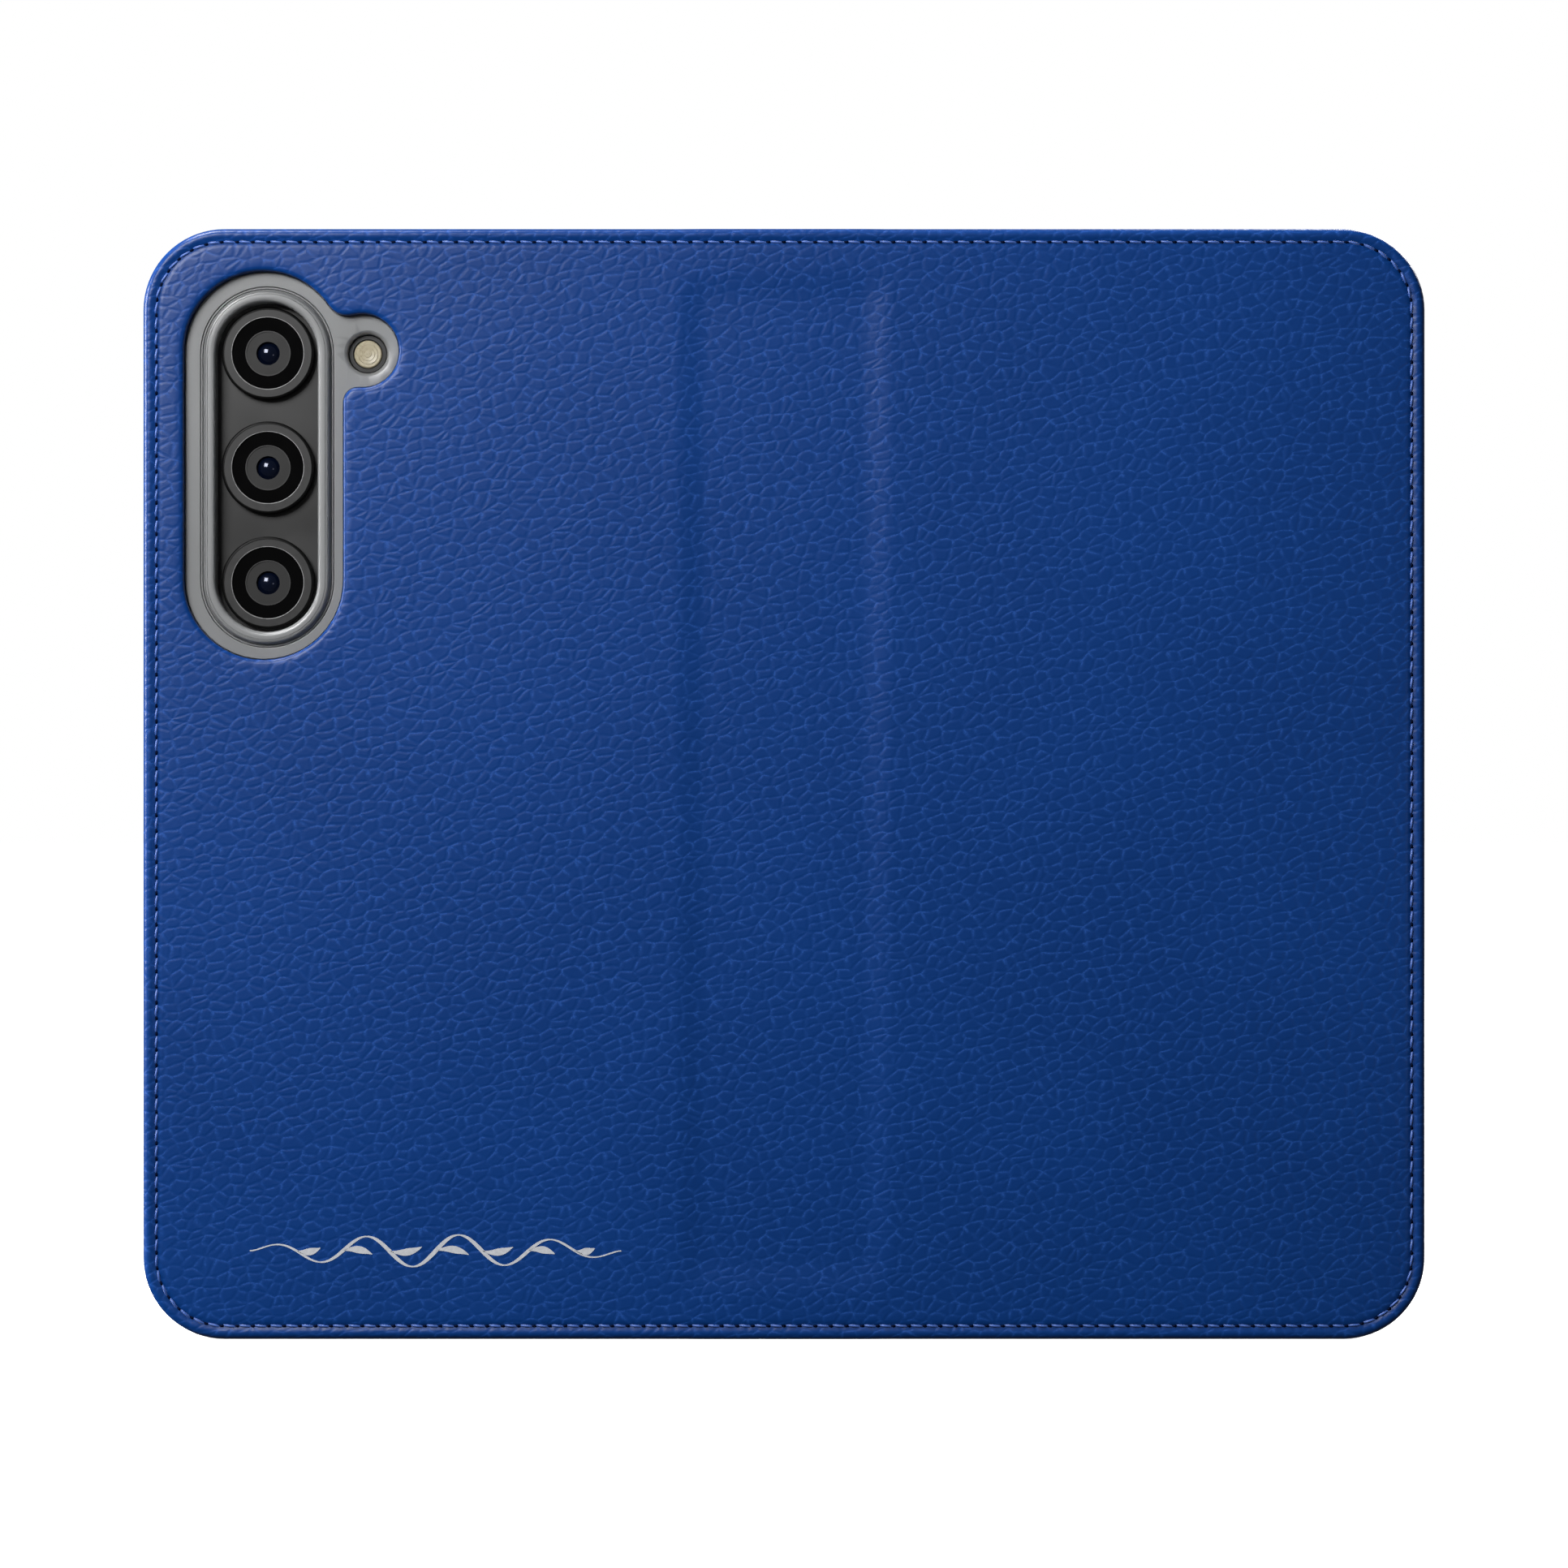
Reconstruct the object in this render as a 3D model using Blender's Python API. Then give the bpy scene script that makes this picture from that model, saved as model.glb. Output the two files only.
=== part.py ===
"""Phone wallet case: a leather folio that lies open, with a clear tray that holds a phone.

The case stands on its lower edge. +X runs along the open width, +Z up the height, and the
outside of both covers faces -Y. The origin is at the middle of the box's lower face.
The front cover closes over the phone by two equal folds, one at each side of the soft spine.
"""
import math

import bmesh
import bpy
from mathutils import Matrix, Vector

MM = 0.001

# Covers: outline of the open case, and the layers from the outside in.
COVER_WIDTH = 176.6 * MM
COVER_HEIGHT = 153.0 * MM
COVER_CORNER = 11.2 * MM
SKIN = 0.8 * MM
BOARD = 1.1 * MM
LINING = 0.5 * MM
GLUE = 0.1 * MM
COVER_DEPTH = SKIN + BOARD + LINING + 2 * GLUE
HEM = 0.8 * MM                  # thickness of the skin where it turns over the edge
BOARD_EDGE = 12.85 * MM         # from the middle of the spine to each board
LINING_EDGE = 12.0 * MM

# Phone, and the tray that holds it.
PHONE_WIDTH = 70.9 * MM
PHONE_DEPTH = 7.6 * MM
PHONE_HEIGHT = 146.3 * MM
PHONE_CORNER = 10.0 * MM
PHONE_MIDDLE_X = -49.45 * MM
TRAY_FLOOR = 1.1 * MM
TRAY_WALL = 1.3 * MM
TRAY_PLAY = 0.2 * MM            # clearance all round the phone
TRAY_LIP = 0.7 * MM             # how far the walls stand over the screen
LIP_REACH = 0.6 * MM            # how far the lip reaches over the phone's edge

# Pockets inside the front cover: one for notes, then three for cards.
POCKET = 0.5 * MM
POCKET_EDGES = {
    "cash_pocket": 17.0 * MM,
    "card_pocket_1": 26.0 * MM,
    "card_pocket_2": 35.0 * MM,
    "card_pocket_3": 44.0 * MM,
}
POCKET_OUTER_X = 86.4 * MM
POCKET_INSET = 1.9 * MM
THUMB_NOTCH = 8.0 * MM          # radius of the finger cut in each card pocket

# Depth of the whole object, from the outside of the covers to the tray's lip.
TRAY_BACK = COVER_DEPTH + GLUE
PHONE_BACK = TRAY_BACK + TRAY_FLOOR + TRAY_PLAY
PHONE_FRONT = PHONE_BACK + PHONE_DEPTH
DEPTH = PHONE_FRONT + TRAY_LIP
OUTSIDE_Y = -DEPTH / 2
MIDDLE_Z = COVER_HEIGHT / 2

# Spine: a soft strip between two fold lines, set back a little between the boards.
SPINE_RECESS = 0.5 * MM
CLOSED_CLEARANCE = 0.5 * MM
FRONT_STACK = COVER_DEPTH + len(POCKET_EDGES) * (POCKET + GLUE)
FOLD_DEPTH = SPINE_RECESS + SKIN / 2
CLOSED_GAP = (DEPTH - FOLD_DEPTH) + (FRONT_STACK - FOLD_DEPTH) + CLOSED_CLEARANCE
SKIN_SLIT = 1.1 * MM            # room for the strip's edges as it folds
LINING_SLIT = 2.5 * MM
FOLD_Y = OUTSIDE_Y + FOLD_DEPTH
FOLD_X = CLOSED_GAP / 2

# Camera: the window in the leather, the raised rim of the tray, and the lenses.
WINDOW_X = -71.7 * MM
WINDOW_Z = 120.4 * MM
WINDOW_RADIUS = 11.0 * MM
WINDOW_LENGTH = 53.6 * MM
LOBE_X = -58.1 * MM
LOBE_Z = 136.2 * MM
LOBE_RADIUS = 5.1 * MM
LOBE_FILLET_BELOW = 2.0 * MM
LOBE_FILLET_ABOVE = 3.0 * MM
WINDOW_MARGIN = 0.5 * MM        # how much wider the hole is in the board and the lining
BOSS_MARGIN = 0.3 * MM          # between the leather and the tray's raised pad in the window
BOSS_TOP = 1.2 * MM             # depth of the pad below the leather
LENS_X = -71.3 * MM
LENS_Z = {"top": 136.0 * MM, "middle": 120.2 * MM, "bottom": 104.3 * MM}
RIM_Z = 120.2 * MM
RIM_OUTER = (9.5 * MM, 50.4 * MM)
RIM_INNER = (7.05 * MM, 45.5 * MM)
RIM_TOP = 0.2 * MM              # depth of the rim's crest below the leather
LENS_RADIUS = 6.4 * MM
LENS_BORE = 4.9 * MM
LENS_STAND = 1.4 * MM
LENS_GLASS = 4.7 * MM
LENS_GLASS_THICK = 0.6 * MM
FLASH_X = -57.5 * MM
FLASH_Z = 135.9 * MM
FLASH_HOLE = 3.25 * MM
FLASH_BEZEL = 2.6 * MM
FLASH_LENS = 1.9 * MM

# Phone: frame, glass, keys and port.
FRAME_WALL = 1.8 * MM
PHONE_GLASS = 0.7 * MM
FIT = 0.1 * MM                  # gap between pieces that are fitted together
KEY_WIDTH = 2.4 * MM
KEY_PROUD = 0.5 * MM
KEY_LENGTH = 2.0 * MM
KEYS = {"volume_key": (112.5 * MM, 22.0 * MM), "power_key": (91.0 * MM, 11.0 * MM)}
KEY_GAP = 0.3 * MM
PORT_WIDTH = 9.0 * MM
PORT_HEIGHT = 2.8 * MM

# Openings in the tray's walls.
KEY_WINDOW_Z = (82.0 * MM, 127.0 * MM)
WALL_WINDOW_DEPTH = (PHONE_BACK + 1.2 * MM, PHONE_FRONT - 1.2 * MM)
PORT_WINDOW_WIDTH = 44.0 * MM

CORNER_STEPS = 10
SLOT_STEPS = 16
RING_STEPS = 40


def arc(centre_x, centre_z, radius, start_deg, end_deg, steps):
    """Points on an arc, both ends included."""
    points = []
    for k in range(steps + 1):
        angle = math.radians(start_deg + (end_deg - start_deg) * k / steps)
        points.append((centre_x + radius * math.cos(angle), centre_z + radius * math.sin(angle)))
    return points


def rounded_rectangle(low_x, high_x, low_z, high_z, left_radius, right_radius):
    """Outline, counter-clockwise seen from -Y; a radius of 0 leaves the corner square."""
    corners = [
        (low_x, low_z, 1, 1, left_radius, 180),
        (high_x, low_z, -1, 1, right_radius, 270),
        (high_x, high_z, -1, -1, right_radius, 0),
        (low_x, high_z, 1, -1, left_radius, 90),
    ]
    points = []
    for x, z, side_x, side_z, radius, start in corners:
        if radius > 0:
            points += arc(x + side_x * radius, z + side_z * radius, radius, start, start + 90, CORNER_STEPS)
        else:
            points.append((x, z))
    return points


def slot(centre_x, centre_z, radius, length):
    """Outline of an upright slot with round ends."""
    reach = length / 2 - radius
    top = arc(centre_x, centre_z + reach, radius, 0, 180, SLOT_STEPS)
    bottom = arc(centre_x, centre_z - reach, radius, 180, 360, SLOT_STEPS)
    return top + bottom


def meeting_point(first, first_radius, second, second_radius):
    """The point right of the line first-second that lies at both distances."""
    gap = second - first
    along = (first_radius**2 - second_radius**2 + gap.length_squared) / (2 * gap.length)
    off = math.sqrt(first_radius**2 - along**2)
    unit = gap.normalized()
    return first + along * unit + off * Vector((-unit.y, unit.x))


def angle_of(centre, point):
    return math.degrees(math.atan2(point.y - centre.y, point.x - centre.x))


def camera_window(grow=0.0):
    """Outline of the window: an upright slot with a round lobe for the flash on its right."""
    radius = WINDOW_RADIUS + grow
    lobe_radius = LOBE_RADIUS + grow
    below = LOBE_FILLET_BELOW - grow
    above = LOBE_FILLET_ABOVE - grow
    reach = WINDOW_LENGTH / 2 - WINDOW_RADIUS
    top = Vector((WINDOW_X, WINDOW_Z + reach))
    lobe = Vector((LOBE_X, LOBE_Z))
    side_x = WINDOW_X + radius
    low_x = side_x + below
    low = Vector((low_x, lobe.y - math.sqrt((lobe_radius + below) ** 2 - (low_x - lobe.x) ** 2)))
    high = meeting_point(top, radius + above, lobe, lobe_radius + above)
    lobe_start = angle_of(lobe, low)
    lobe_end = angle_of(lobe, high)
    points = arc(WINDOW_X, WINDOW_Z - reach, radius, 180, 360, SLOT_STEPS)
    points += arc(low.x, low.y, below, 180, angle_of(low, lobe), 5)
    points += arc(lobe.x, lobe.y, lobe_radius, lobe_start, lobe_end, SLOT_STEPS)[1:]
    points += arc(high.x, high.y, above, angle_of(high, lobe), angle_of(high, top), 5)[1:]
    points += arc(top.x, top.y, radius, angle_of(top, high), 180, SLOT_STEPS)[1:]
    return points


def material(name, colour, roughness, metallic=0.0, transmission=0.0):
    result = bpy.data.materials.new(name)
    result.use_nodes = True
    shader = result.node_tree.nodes["Principled BSDF"]
    shader.inputs["Base Color"].default_value = (*colour, 1.0)
    shader.inputs["Roughness"].default_value = roughness
    shader.inputs["Metallic"].default_value = metallic
    shader.inputs["Transmission Weight"].default_value = transmission
    return result


def add_object(name, bm, look, parent=None, origin=(0, 0, 0), smooth_deg=None):
    """Make an object from bm, whose points are world points, with its origin at origin."""
    bmesh.ops.recalc_face_normals(bm, faces=bm.faces)
    bmesh.ops.transform(bm, matrix=Matrix.Translation(-Vector(origin)), verts=bm.verts)
    mesh = bpy.data.meshes.new(name)
    bm.to_mesh(mesh)
    bm.free()
    if smooth_deg is not None:
        mesh.shade_smooth()
        mesh.set_sharp_from_angle(angle=math.radians(smooth_deg))
    mesh.materials.append(look)
    obj = bpy.data.objects.new(name, mesh)
    bpy.context.scene.collection.objects.link(obj)
    obj.location = origin
    if parent is not None:
        obj.parent = parent
        obj.location = Vector(origin) - Vector(parent.matrix_world.translation)
    return obj


def add_joint(name, place, parent=None):
    """An empty on a joint's axis, which its moving pieces are parented to."""
    empty = bpy.data.objects.new(name, None)
    bpy.context.scene.collection.objects.link(empty)
    empty.location = place
    if parent is not None:
        empty.parent = parent
        empty.location = Vector(place) - Vector(parent.matrix_world.translation)
    bpy.context.view_layer.update()
    return empty


def loop_at(bm, outline, depth):
    """The outline's points as vertices, at a depth behind the covers' outside."""
    return [bm.verts.new((x, OUTSIDE_Y + depth, z)) for x, z in outline]


def fill(bm, *loops):
    """Flat faces inside the first loop of vertices and outside the others."""
    edges = []
    for verts in loops:
        for first, second in zip(verts, verts[1:] + verts[:1]):
            edges.append(bm.edges.get((first, second)) or bm.edges.new((first, second)))
    bmesh.ops.triangle_fill(bm, use_beauty=True, use_dissolve=False, edges=edges, normal=(0, -1, 0))


def wall(bm, first, second):
    """Faces between two loops of vertices with the same number of points."""
    for k in range(len(first)):
        bm.faces.new((first[k - 1], first[k], second[k], second[k - 1]))


def prism(outline, depth_start, depth_end, holes=()):
    """A plate with holes; its faces lie at the two depths behind the covers' outside."""
    bm = bmesh.new()
    start = [loop_at(bm, loop, depth_start) for loop in (outline, *holes)]
    end = [loop_at(bm, loop, depth_end) for loop in (outline, *holes)]
    fill(bm, *start)
    fill(bm, *end)
    for first, second in zip(start, end):
        wall(bm, first, second)
    return bm


def box(low, high):
    bm = bmesh.new()
    bmesh.ops.create_cube(bm, size=1)
    size = Vector(high) - Vector(low)
    bmesh.ops.scale(bm, vec=size, verts=bm.verts)
    bmesh.ops.translate(bm, vec=(Vector(low) + Vector(high)) / 2, verts=bm.verts)
    return bm


def turned(profile, centre_x, centre_z):
    """A ring or disc round an axis along Y; profile is a closed list of (radius, depth)."""
    bm = bmesh.new()
    rings = []
    for radius, depth in profile:
        y = OUTSIDE_Y + depth
        if radius == 0:
            rings.append([bm.verts.new((centre_x, y, centre_z))])
            continue
        circle = arc(centre_x, centre_z, radius, 0, 360, RING_STEPS)[:-1]
        rings.append([bm.verts.new((x, y, z)) for x, z in circle])
    for first, second in zip(rings, rings[1:] + rings[:1]):
        if len(first) == 1 and len(second) == 1:
            continue
        for k in range(RING_STEPS):
            following = (k + 1) % RING_STEPS
            corners = [first[k % len(first)], first[following % len(first)]]
            corners += [second[following % len(second)], second[k % len(second)]]
            bm.faces.new(list(dict.fromkeys(corners)))
    return bm


def modify(obj, other, operation):
    """Cut other out of obj, or join it on; other stays as a hidden guide."""
    modifier = obj.modifiers.new(other.name, "BOOLEAN")
    modifier.operation = operation
    modifier.solver = "EXACT"
    modifier.object = other
    other.hide_render = True
    other.display_type = "WIRE"


def cover_skin(name, look, parent, spine_x, side, holes):
    """The outer leather of one cover, with its turned edge on three sides."""
    edge_x = side * COVER_WIDTH / 2
    flat_end = edge_x - side * HEM / 2
    flat = cover_outline(spine_x, flat_end, HEM / 2, COVER_HEIGHT - HEM / 2, COVER_CORNER - HEM / 2)
    outer = cover_outline(spine_x, edge_x, 0.0, COVER_HEIGHT, COVER_CORNER)
    inner_end = edge_x - side * HEM
    cleared = cover_outline(spine_x - side * HEM, inner_end, HEM, COVER_HEIGHT - HEM, COVER_CORNER - HEM)
    skin = add_object(name, prism(flat, 0.0, SKIN, holes), look, parent)
    edge = add_object(name + "_edge", prism(outer, 0.0, COVER_DEPTH), look, parent)
    inside = add_object(name + "_inside", prism(cleared, -SKIN, COVER_DEPTH + SKIN), look, parent)
    modify(edge, inside, "DIFFERENCE")
    modify(skin, edge, "UNION")
    return skin


def cover_outline(spine_x, edge_x, low_z, high_z, radius):
    """A cover's outline: square at the spine, round at the free edge."""
    if edge_x < spine_x:
        return rounded_rectangle(edge_x, spine_x, low_z, high_z, radius, 0)
    return rounded_rectangle(spine_x, edge_x, low_z, high_z, 0, radius)


def cover_layer(name, look, parent, spine_x, side, depths, holes):
    """A board or a lining, inside the skin's turned edge."""
    inset = HEM + GLUE
    edge_x = side * (COVER_WIDTH / 2 - inset)
    outline = cover_outline(side * spine_x, edge_x, inset, COVER_HEIGHT - inset, COVER_CORNER - inset)
    return add_object(name, prism(outline, *depths, holes), look, parent)


def make_cover(which, side, looks, parent, window, wide_window):
    """Skin, board and lining of the back cover (side -1) or the front cover (side 1)."""
    skin_edge = side * (FOLD_X + SKIN_SLIT / 2)
    board_start = SKIN + GLUE
    lining_start = board_start + BOARD + GLUE
    boards = (board_start, board_start + BOARD)
    linings = (lining_start, lining_start + LINING)
    cover_skin(which + "_skin", looks["leather"], parent, skin_edge, side, window)
    cover_layer(which + "_board", looks["board"], parent, BOARD_EDGE, side, boards, wide_window)
    cover_layer(which + "_lining", looks["lining"], parent, LINING_EDGE, side, linings, wide_window)


def make_spine(looks, joint):
    """The soft strip of leather between the fold lines, with its lining."""
    skins = (SPINE_RECESS, SPINE_RECESS + SKIN)
    linings = (skins[1] + GLUE, skins[1] + GLUE + LINING)
    inset = HEM + GLUE
    for layer, look, slit, depths, end in (
        ("spine_skin", "leather", SKIN_SLIT, skins, 0.0),
        ("spine_lining", "lining", LINING_SLIT, linings, inset),
    ):
        reach = FOLD_X - slit / 2
        low = (-reach, OUTSIDE_Y + depths[0], end)
        high = (reach, OUTSIDE_Y + depths[1], COVER_HEIGHT - end)
        add_object(layer, box(low, high), looks[look], joint)


def pocket_outline(edge_x, notch):
    """A pocket's panel; its open edge faces the spine, with a thumb notch at mid-height."""
    radius = COVER_CORNER - POCKET_INSET
    low_z = POCKET_INSET
    high_z = COVER_HEIGHT - POCKET_INSET
    points = cover_outline(edge_x, POCKET_OUTER_X, low_z, high_z, radius)
    if notch:
        points += arc(edge_x, MIDDLE_Z, THUMB_NOTCH, 90, -90, SLOT_STEPS)
    return points


def make_pockets(looks, parent):
    depth = COVER_DEPTH + GLUE
    for name, edge_x in POCKET_EDGES.items():
        notch = name != "cash_pocket"
        panel = prism(pocket_outline(edge_x, notch), depth, depth + POCKET)
        add_object(name, panel, looks["pocket"], parent)
        depth += POCKET + GLUE


def phone_outline(grow):
    """The phone's outline seen from behind, grown by a distance."""
    half_width = PHONE_WIDTH / 2 + grow
    half_height = PHONE_HEIGHT / 2 + grow
    radius = PHONE_CORNER + grow
    return rounded_rectangle(
        PHONE_MIDDLE_X - half_width,
        PHONE_MIDDLE_X + half_width,
        MIDDLE_Z - half_height,
        MIDDLE_Z + half_height,
        radius,
        radius,
    )


def tray_shell():
    """Floor, side walls with a lip, and a pad in the window with a rim round the lenses."""
    bm = bmesh.new()
    floor_end = TRAY_BACK + TRAY_FLOOR
    lip_start = PHONE_FRONT + FIT
    outer = phone_outline(TRAY_PLAY + TRAY_WALL)
    inner = phone_outline(TRAY_PLAY)
    rim = slot(LENS_X, RIM_Z, *RIM_OUTER)
    lens_hole = slot(LENS_X, RIM_Z, *RIM_INNER)
    flash_hole = arc(FLASH_X, FLASH_Z, FLASH_HOLE, 0, 360, SLOT_STEPS)[:-1]
    outer_back = loop_at(bm, outer, TRAY_BACK)
    outer_front = loop_at(bm, outer, DEPTH)
    inner_floor = loop_at(bm, inner, floor_end)
    inner_front = loop_at(bm, inner, lip_start)
    lip_under = loop_at(bm, phone_outline(-LIP_REACH), lip_start)
    lip_front = loop_at(bm, phone_outline(-LIP_REACH), DEPTH)
    boss_back = loop_at(bm, camera_window(-BOSS_MARGIN), TRAY_BACK)
    boss_top = loop_at(bm, camera_window(-BOSS_MARGIN), BOSS_TOP)
    rim_base = loop_at(bm, rim, BOSS_TOP)
    rim_crest = loop_at(bm, rim, RIM_TOP)
    lens_crest = loop_at(bm, lens_hole, RIM_TOP)
    lens_floor = loop_at(bm, lens_hole, floor_end)
    flash_top = loop_at(bm, flash_hole, BOSS_TOP)
    flash_floor = loop_at(bm, flash_hole, floor_end)
    fill(bm, outer_back, boss_back)
    fill(bm, boss_top, rim_base, flash_top)
    fill(bm, rim_crest, lens_crest)
    fill(bm, inner_floor, lens_floor, flash_floor)
    fill(bm, inner_front, lip_under)
    fill(bm, outer_front, lip_front)
    wall(bm, outer_back, outer_front)
    wall(bm, boss_back, boss_top)
    wall(bm, rim_base, rim_crest)
    wall(bm, lens_crest, lens_floor)
    wall(bm, flash_top, flash_floor)
    wall(bm, inner_floor, inner_front)
    wall(bm, lip_under, lip_front)
    return bm


def make_tray(looks):
    """Clear tray: its free side is cut open for the keys, its lower side for the port."""
    look = looks["clear"]
    tray = add_object("phone_tray", tray_shell(), look)
    left = PHONE_MIDDLE_X - PHONE_WIDTH / 2
    bottom = MIDDLE_Z - PHONE_HEIGHT / 2
    reach = 2 * (TRAY_WALL + TRAY_PLAY)
    low_y, high_y = (OUTSIDE_Y + depth for depth in WALL_WINDOW_DEPTH)
    key_low = (left - reach, low_y, KEY_WINDOW_Z[0])
    key_high = (left + FRAME_WALL, OUTSIDE_Y + DEPTH + TRAY_LIP, KEY_WINDOW_Z[1])
    key_box = box(key_low, key_high)
    half_port = PORT_WINDOW_WIDTH / 2
    port_low = (PHONE_MIDDLE_X - half_port, low_y, bottom - reach)
    port_high = (PHONE_MIDDLE_X + half_port, high_y, bottom + FRAME_WALL)
    modify(tray, add_object("key_window_cutter", key_box, look), "DIFFERENCE")
    modify(tray, add_object("port_window_cutter", box(port_low, port_high), look), "DIFFERENCE")


def make_phone(looks):
    """The phone: frame, glass on both sides, and a plain block for what is inside."""
    inside = phone_outline(-FRAME_WALL)
    fitted = phone_outline(-FRAME_WALL - FIT)
    frame = prism(phone_outline(0.0), PHONE_BACK, PHONE_FRONT, [inside])
    frame = add_object("phone_frame", frame, looks["metal"])
    back_end = PHONE_BACK + PHONE_GLASS
    screen_start = PHONE_FRONT - PHONE_GLASS
    add_object("phone_back", prism(fitted, PHONE_BACK, back_end), looks["graphite"])
    add_object("phone_screen", prism(fitted, screen_start, PHONE_FRONT), looks["screen"])
    core = prism(phone_outline(-FRAME_WALL - 5 * FIT), back_end + FIT, screen_start - FIT)
    add_object("phone_core", core, looks["core"])
    left = PHONE_MIDDLE_X - PHONE_WIDTH / 2
    bottom = MIDDLE_Z - PHONE_HEIGHT / 2
    middle_y = OUTSIDE_Y + (PHONE_BACK + PHONE_FRONT) / 2
    for name, (middle_z, length) in KEYS.items():
        half = (KEY_WIDTH / 2, length / 2)
        key_joint = add_joint(name + "_press", (left, middle_y, middle_z))
        low = (left - KEY_PROUD, middle_y - half[0], middle_z - half[1])
        high = (left - KEY_PROUD + KEY_LENGTH, middle_y + half[0], middle_z + half[1])
        add_object(name, box(low, high), looks["metal"], key_joint, (left, middle_y, middle_z))
        low = (left - FRAME_WALL, middle_y - half[0] - KEY_GAP, middle_z - half[1] - KEY_GAP)
        high = (left + 2 * FRAME_WALL, middle_y + half[0] + KEY_GAP, middle_z + half[1] + KEY_GAP)
        modify(frame, add_object(name + "_cutter", box(low, high), looks["metal"]), "DIFFERENCE")
    low = (PHONE_MIDDLE_X - PORT_WIDTH / 2, middle_y - PORT_HEIGHT / 2, bottom - FRAME_WALL)
    high = (PHONE_MIDDLE_X + PORT_WIDTH / 2, middle_y + PORT_HEIGHT / 2, bottom + 2 * FRAME_WALL)
    modify(frame, add_object("port_cutter", box(low, high), looks["metal"]), "DIFFERENCE")


def make_cameras(looks):
    """Three lens rings with their cover glasses, and the flash with its bezel."""
    base = PHONE_BACK - FIT
    top = base - LENS_STAND
    bevel = 0.3 * MM
    lens_ring = [
        (LENS_BORE, base),
        (LENS_RADIUS, base),
        (LENS_RADIUS, top + bevel),
        (LENS_RADIUS - bevel, top),
        (LENS_BORE + bevel, top),
        (LENS_BORE, top + bevel),
    ]
    glass_top = base - LENS_GLASS_THICK
    lens_glass = [(0, base), (LENS_GLASS, base), (LENS_GLASS, glass_top), (0, glass_top)]
    for place, z in LENS_Z.items():
        add_object(f"lens_ring_{place}", turned(lens_ring, LENS_X, z), looks["ring"], smooth_deg=30)
        add_object(f"lens_glass_{place}", turned(lens_glass, LENS_X, z), looks["lens"], smooth_deg=30)
    bezel_top = base - 0.5 * MM
    bore = FLASH_LENS + FIT
    bezel = [(bore, base), (FLASH_BEZEL, base), (FLASH_BEZEL, bezel_top), (bore, bezel_top)]
    dome = [(0, base), (FLASH_LENS, base), (FLASH_LENS, base - bevel), (0, bezel_top)]
    add_object("flash_bezel", turned(bezel, FLASH_X, FLASH_Z), looks["ring"], smooth_deg=30)
    add_object("flash_lens", turned(dome, FLASH_X, FLASH_Z), looks["flash"], smooth_deg=30)


def build():
    for obj in list(bpy.data.objects):
        bpy.data.objects.remove(obj)
    looks = {
        "leather": material("blue_leather", (0.008, 0.036, 0.16), 0.45),
        "board": material("grey_board", (0.45, 0.43, 0.40), 0.9),
        "lining": material("lining_cloth", (0.02, 0.05, 0.14), 0.85),
        "pocket": material("pocket_leather", (0.01, 0.04, 0.15), 0.5),
        "clear": material("clear_plastic", (0.75, 0.77, 0.78), 0.1, transmission=0.8),
        "metal": material("dark_metal", (0.10, 0.10, 0.11), 0.3, metallic=1.0),
        "graphite": material("graphite_glass", (0.06, 0.06, 0.065), 0.3),
        "screen": material("screen_glass", (0.005, 0.005, 0.006), 0.05),
        "core": material("inner_block", (0.05, 0.05, 0.05), 0.7),
        "ring": material("lens_metal", (0.03, 0.03, 0.03), 0.25, metallic=1.0),
        "lens": material("lens_glass", (0.004, 0.004, 0.006), 0.03),
        "flash": material("flash_plastic", (0.75, 0.70, 0.52), 0.2),
    }
    spine_joint = add_joint("spine_fold", (-FOLD_X, FOLD_Y, MIDDLE_Z))
    front_joint = add_joint("cover_fold", (FOLD_X, FOLD_Y, MIDDLE_Z), spine_joint)
    window = [camera_window()]
    wide_window = [camera_window(WINDOW_MARGIN)]
    make_cover("back", -1, looks, None, window, wide_window)
    make_cover("front", 1, looks, front_joint, (), ())
    make_spine(looks, spine_joint)
    make_pockets(looks, front_joint)
    make_tray(looks)
    make_phone(looks)
    make_cameras(looks)


build()
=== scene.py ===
# %% [markdown]
# A phone wallet case, or folio, is a small book for a phone. Two stiff covers of leather over board
# are joined by a soft spine. A clear tray inside the back cover holds the phone, and the front cover
# carries pockets for cards. This lesson dresses a rigid working model of the case, the frame, in soft
# and finished surfaces. The frame says how each body moves. The tray, the phone, the lenses, the foil
# and the pockets made here ride on a body; the covers' skins, linings and border stitches do not.
# All sizes are in metres, +Z is up, and the covers' outside faces -Y.

# %% Load the frame
import math

import bmesh
import bpy
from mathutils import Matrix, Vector
from mathutils.geometry import delaunay_2d_cdt


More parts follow.
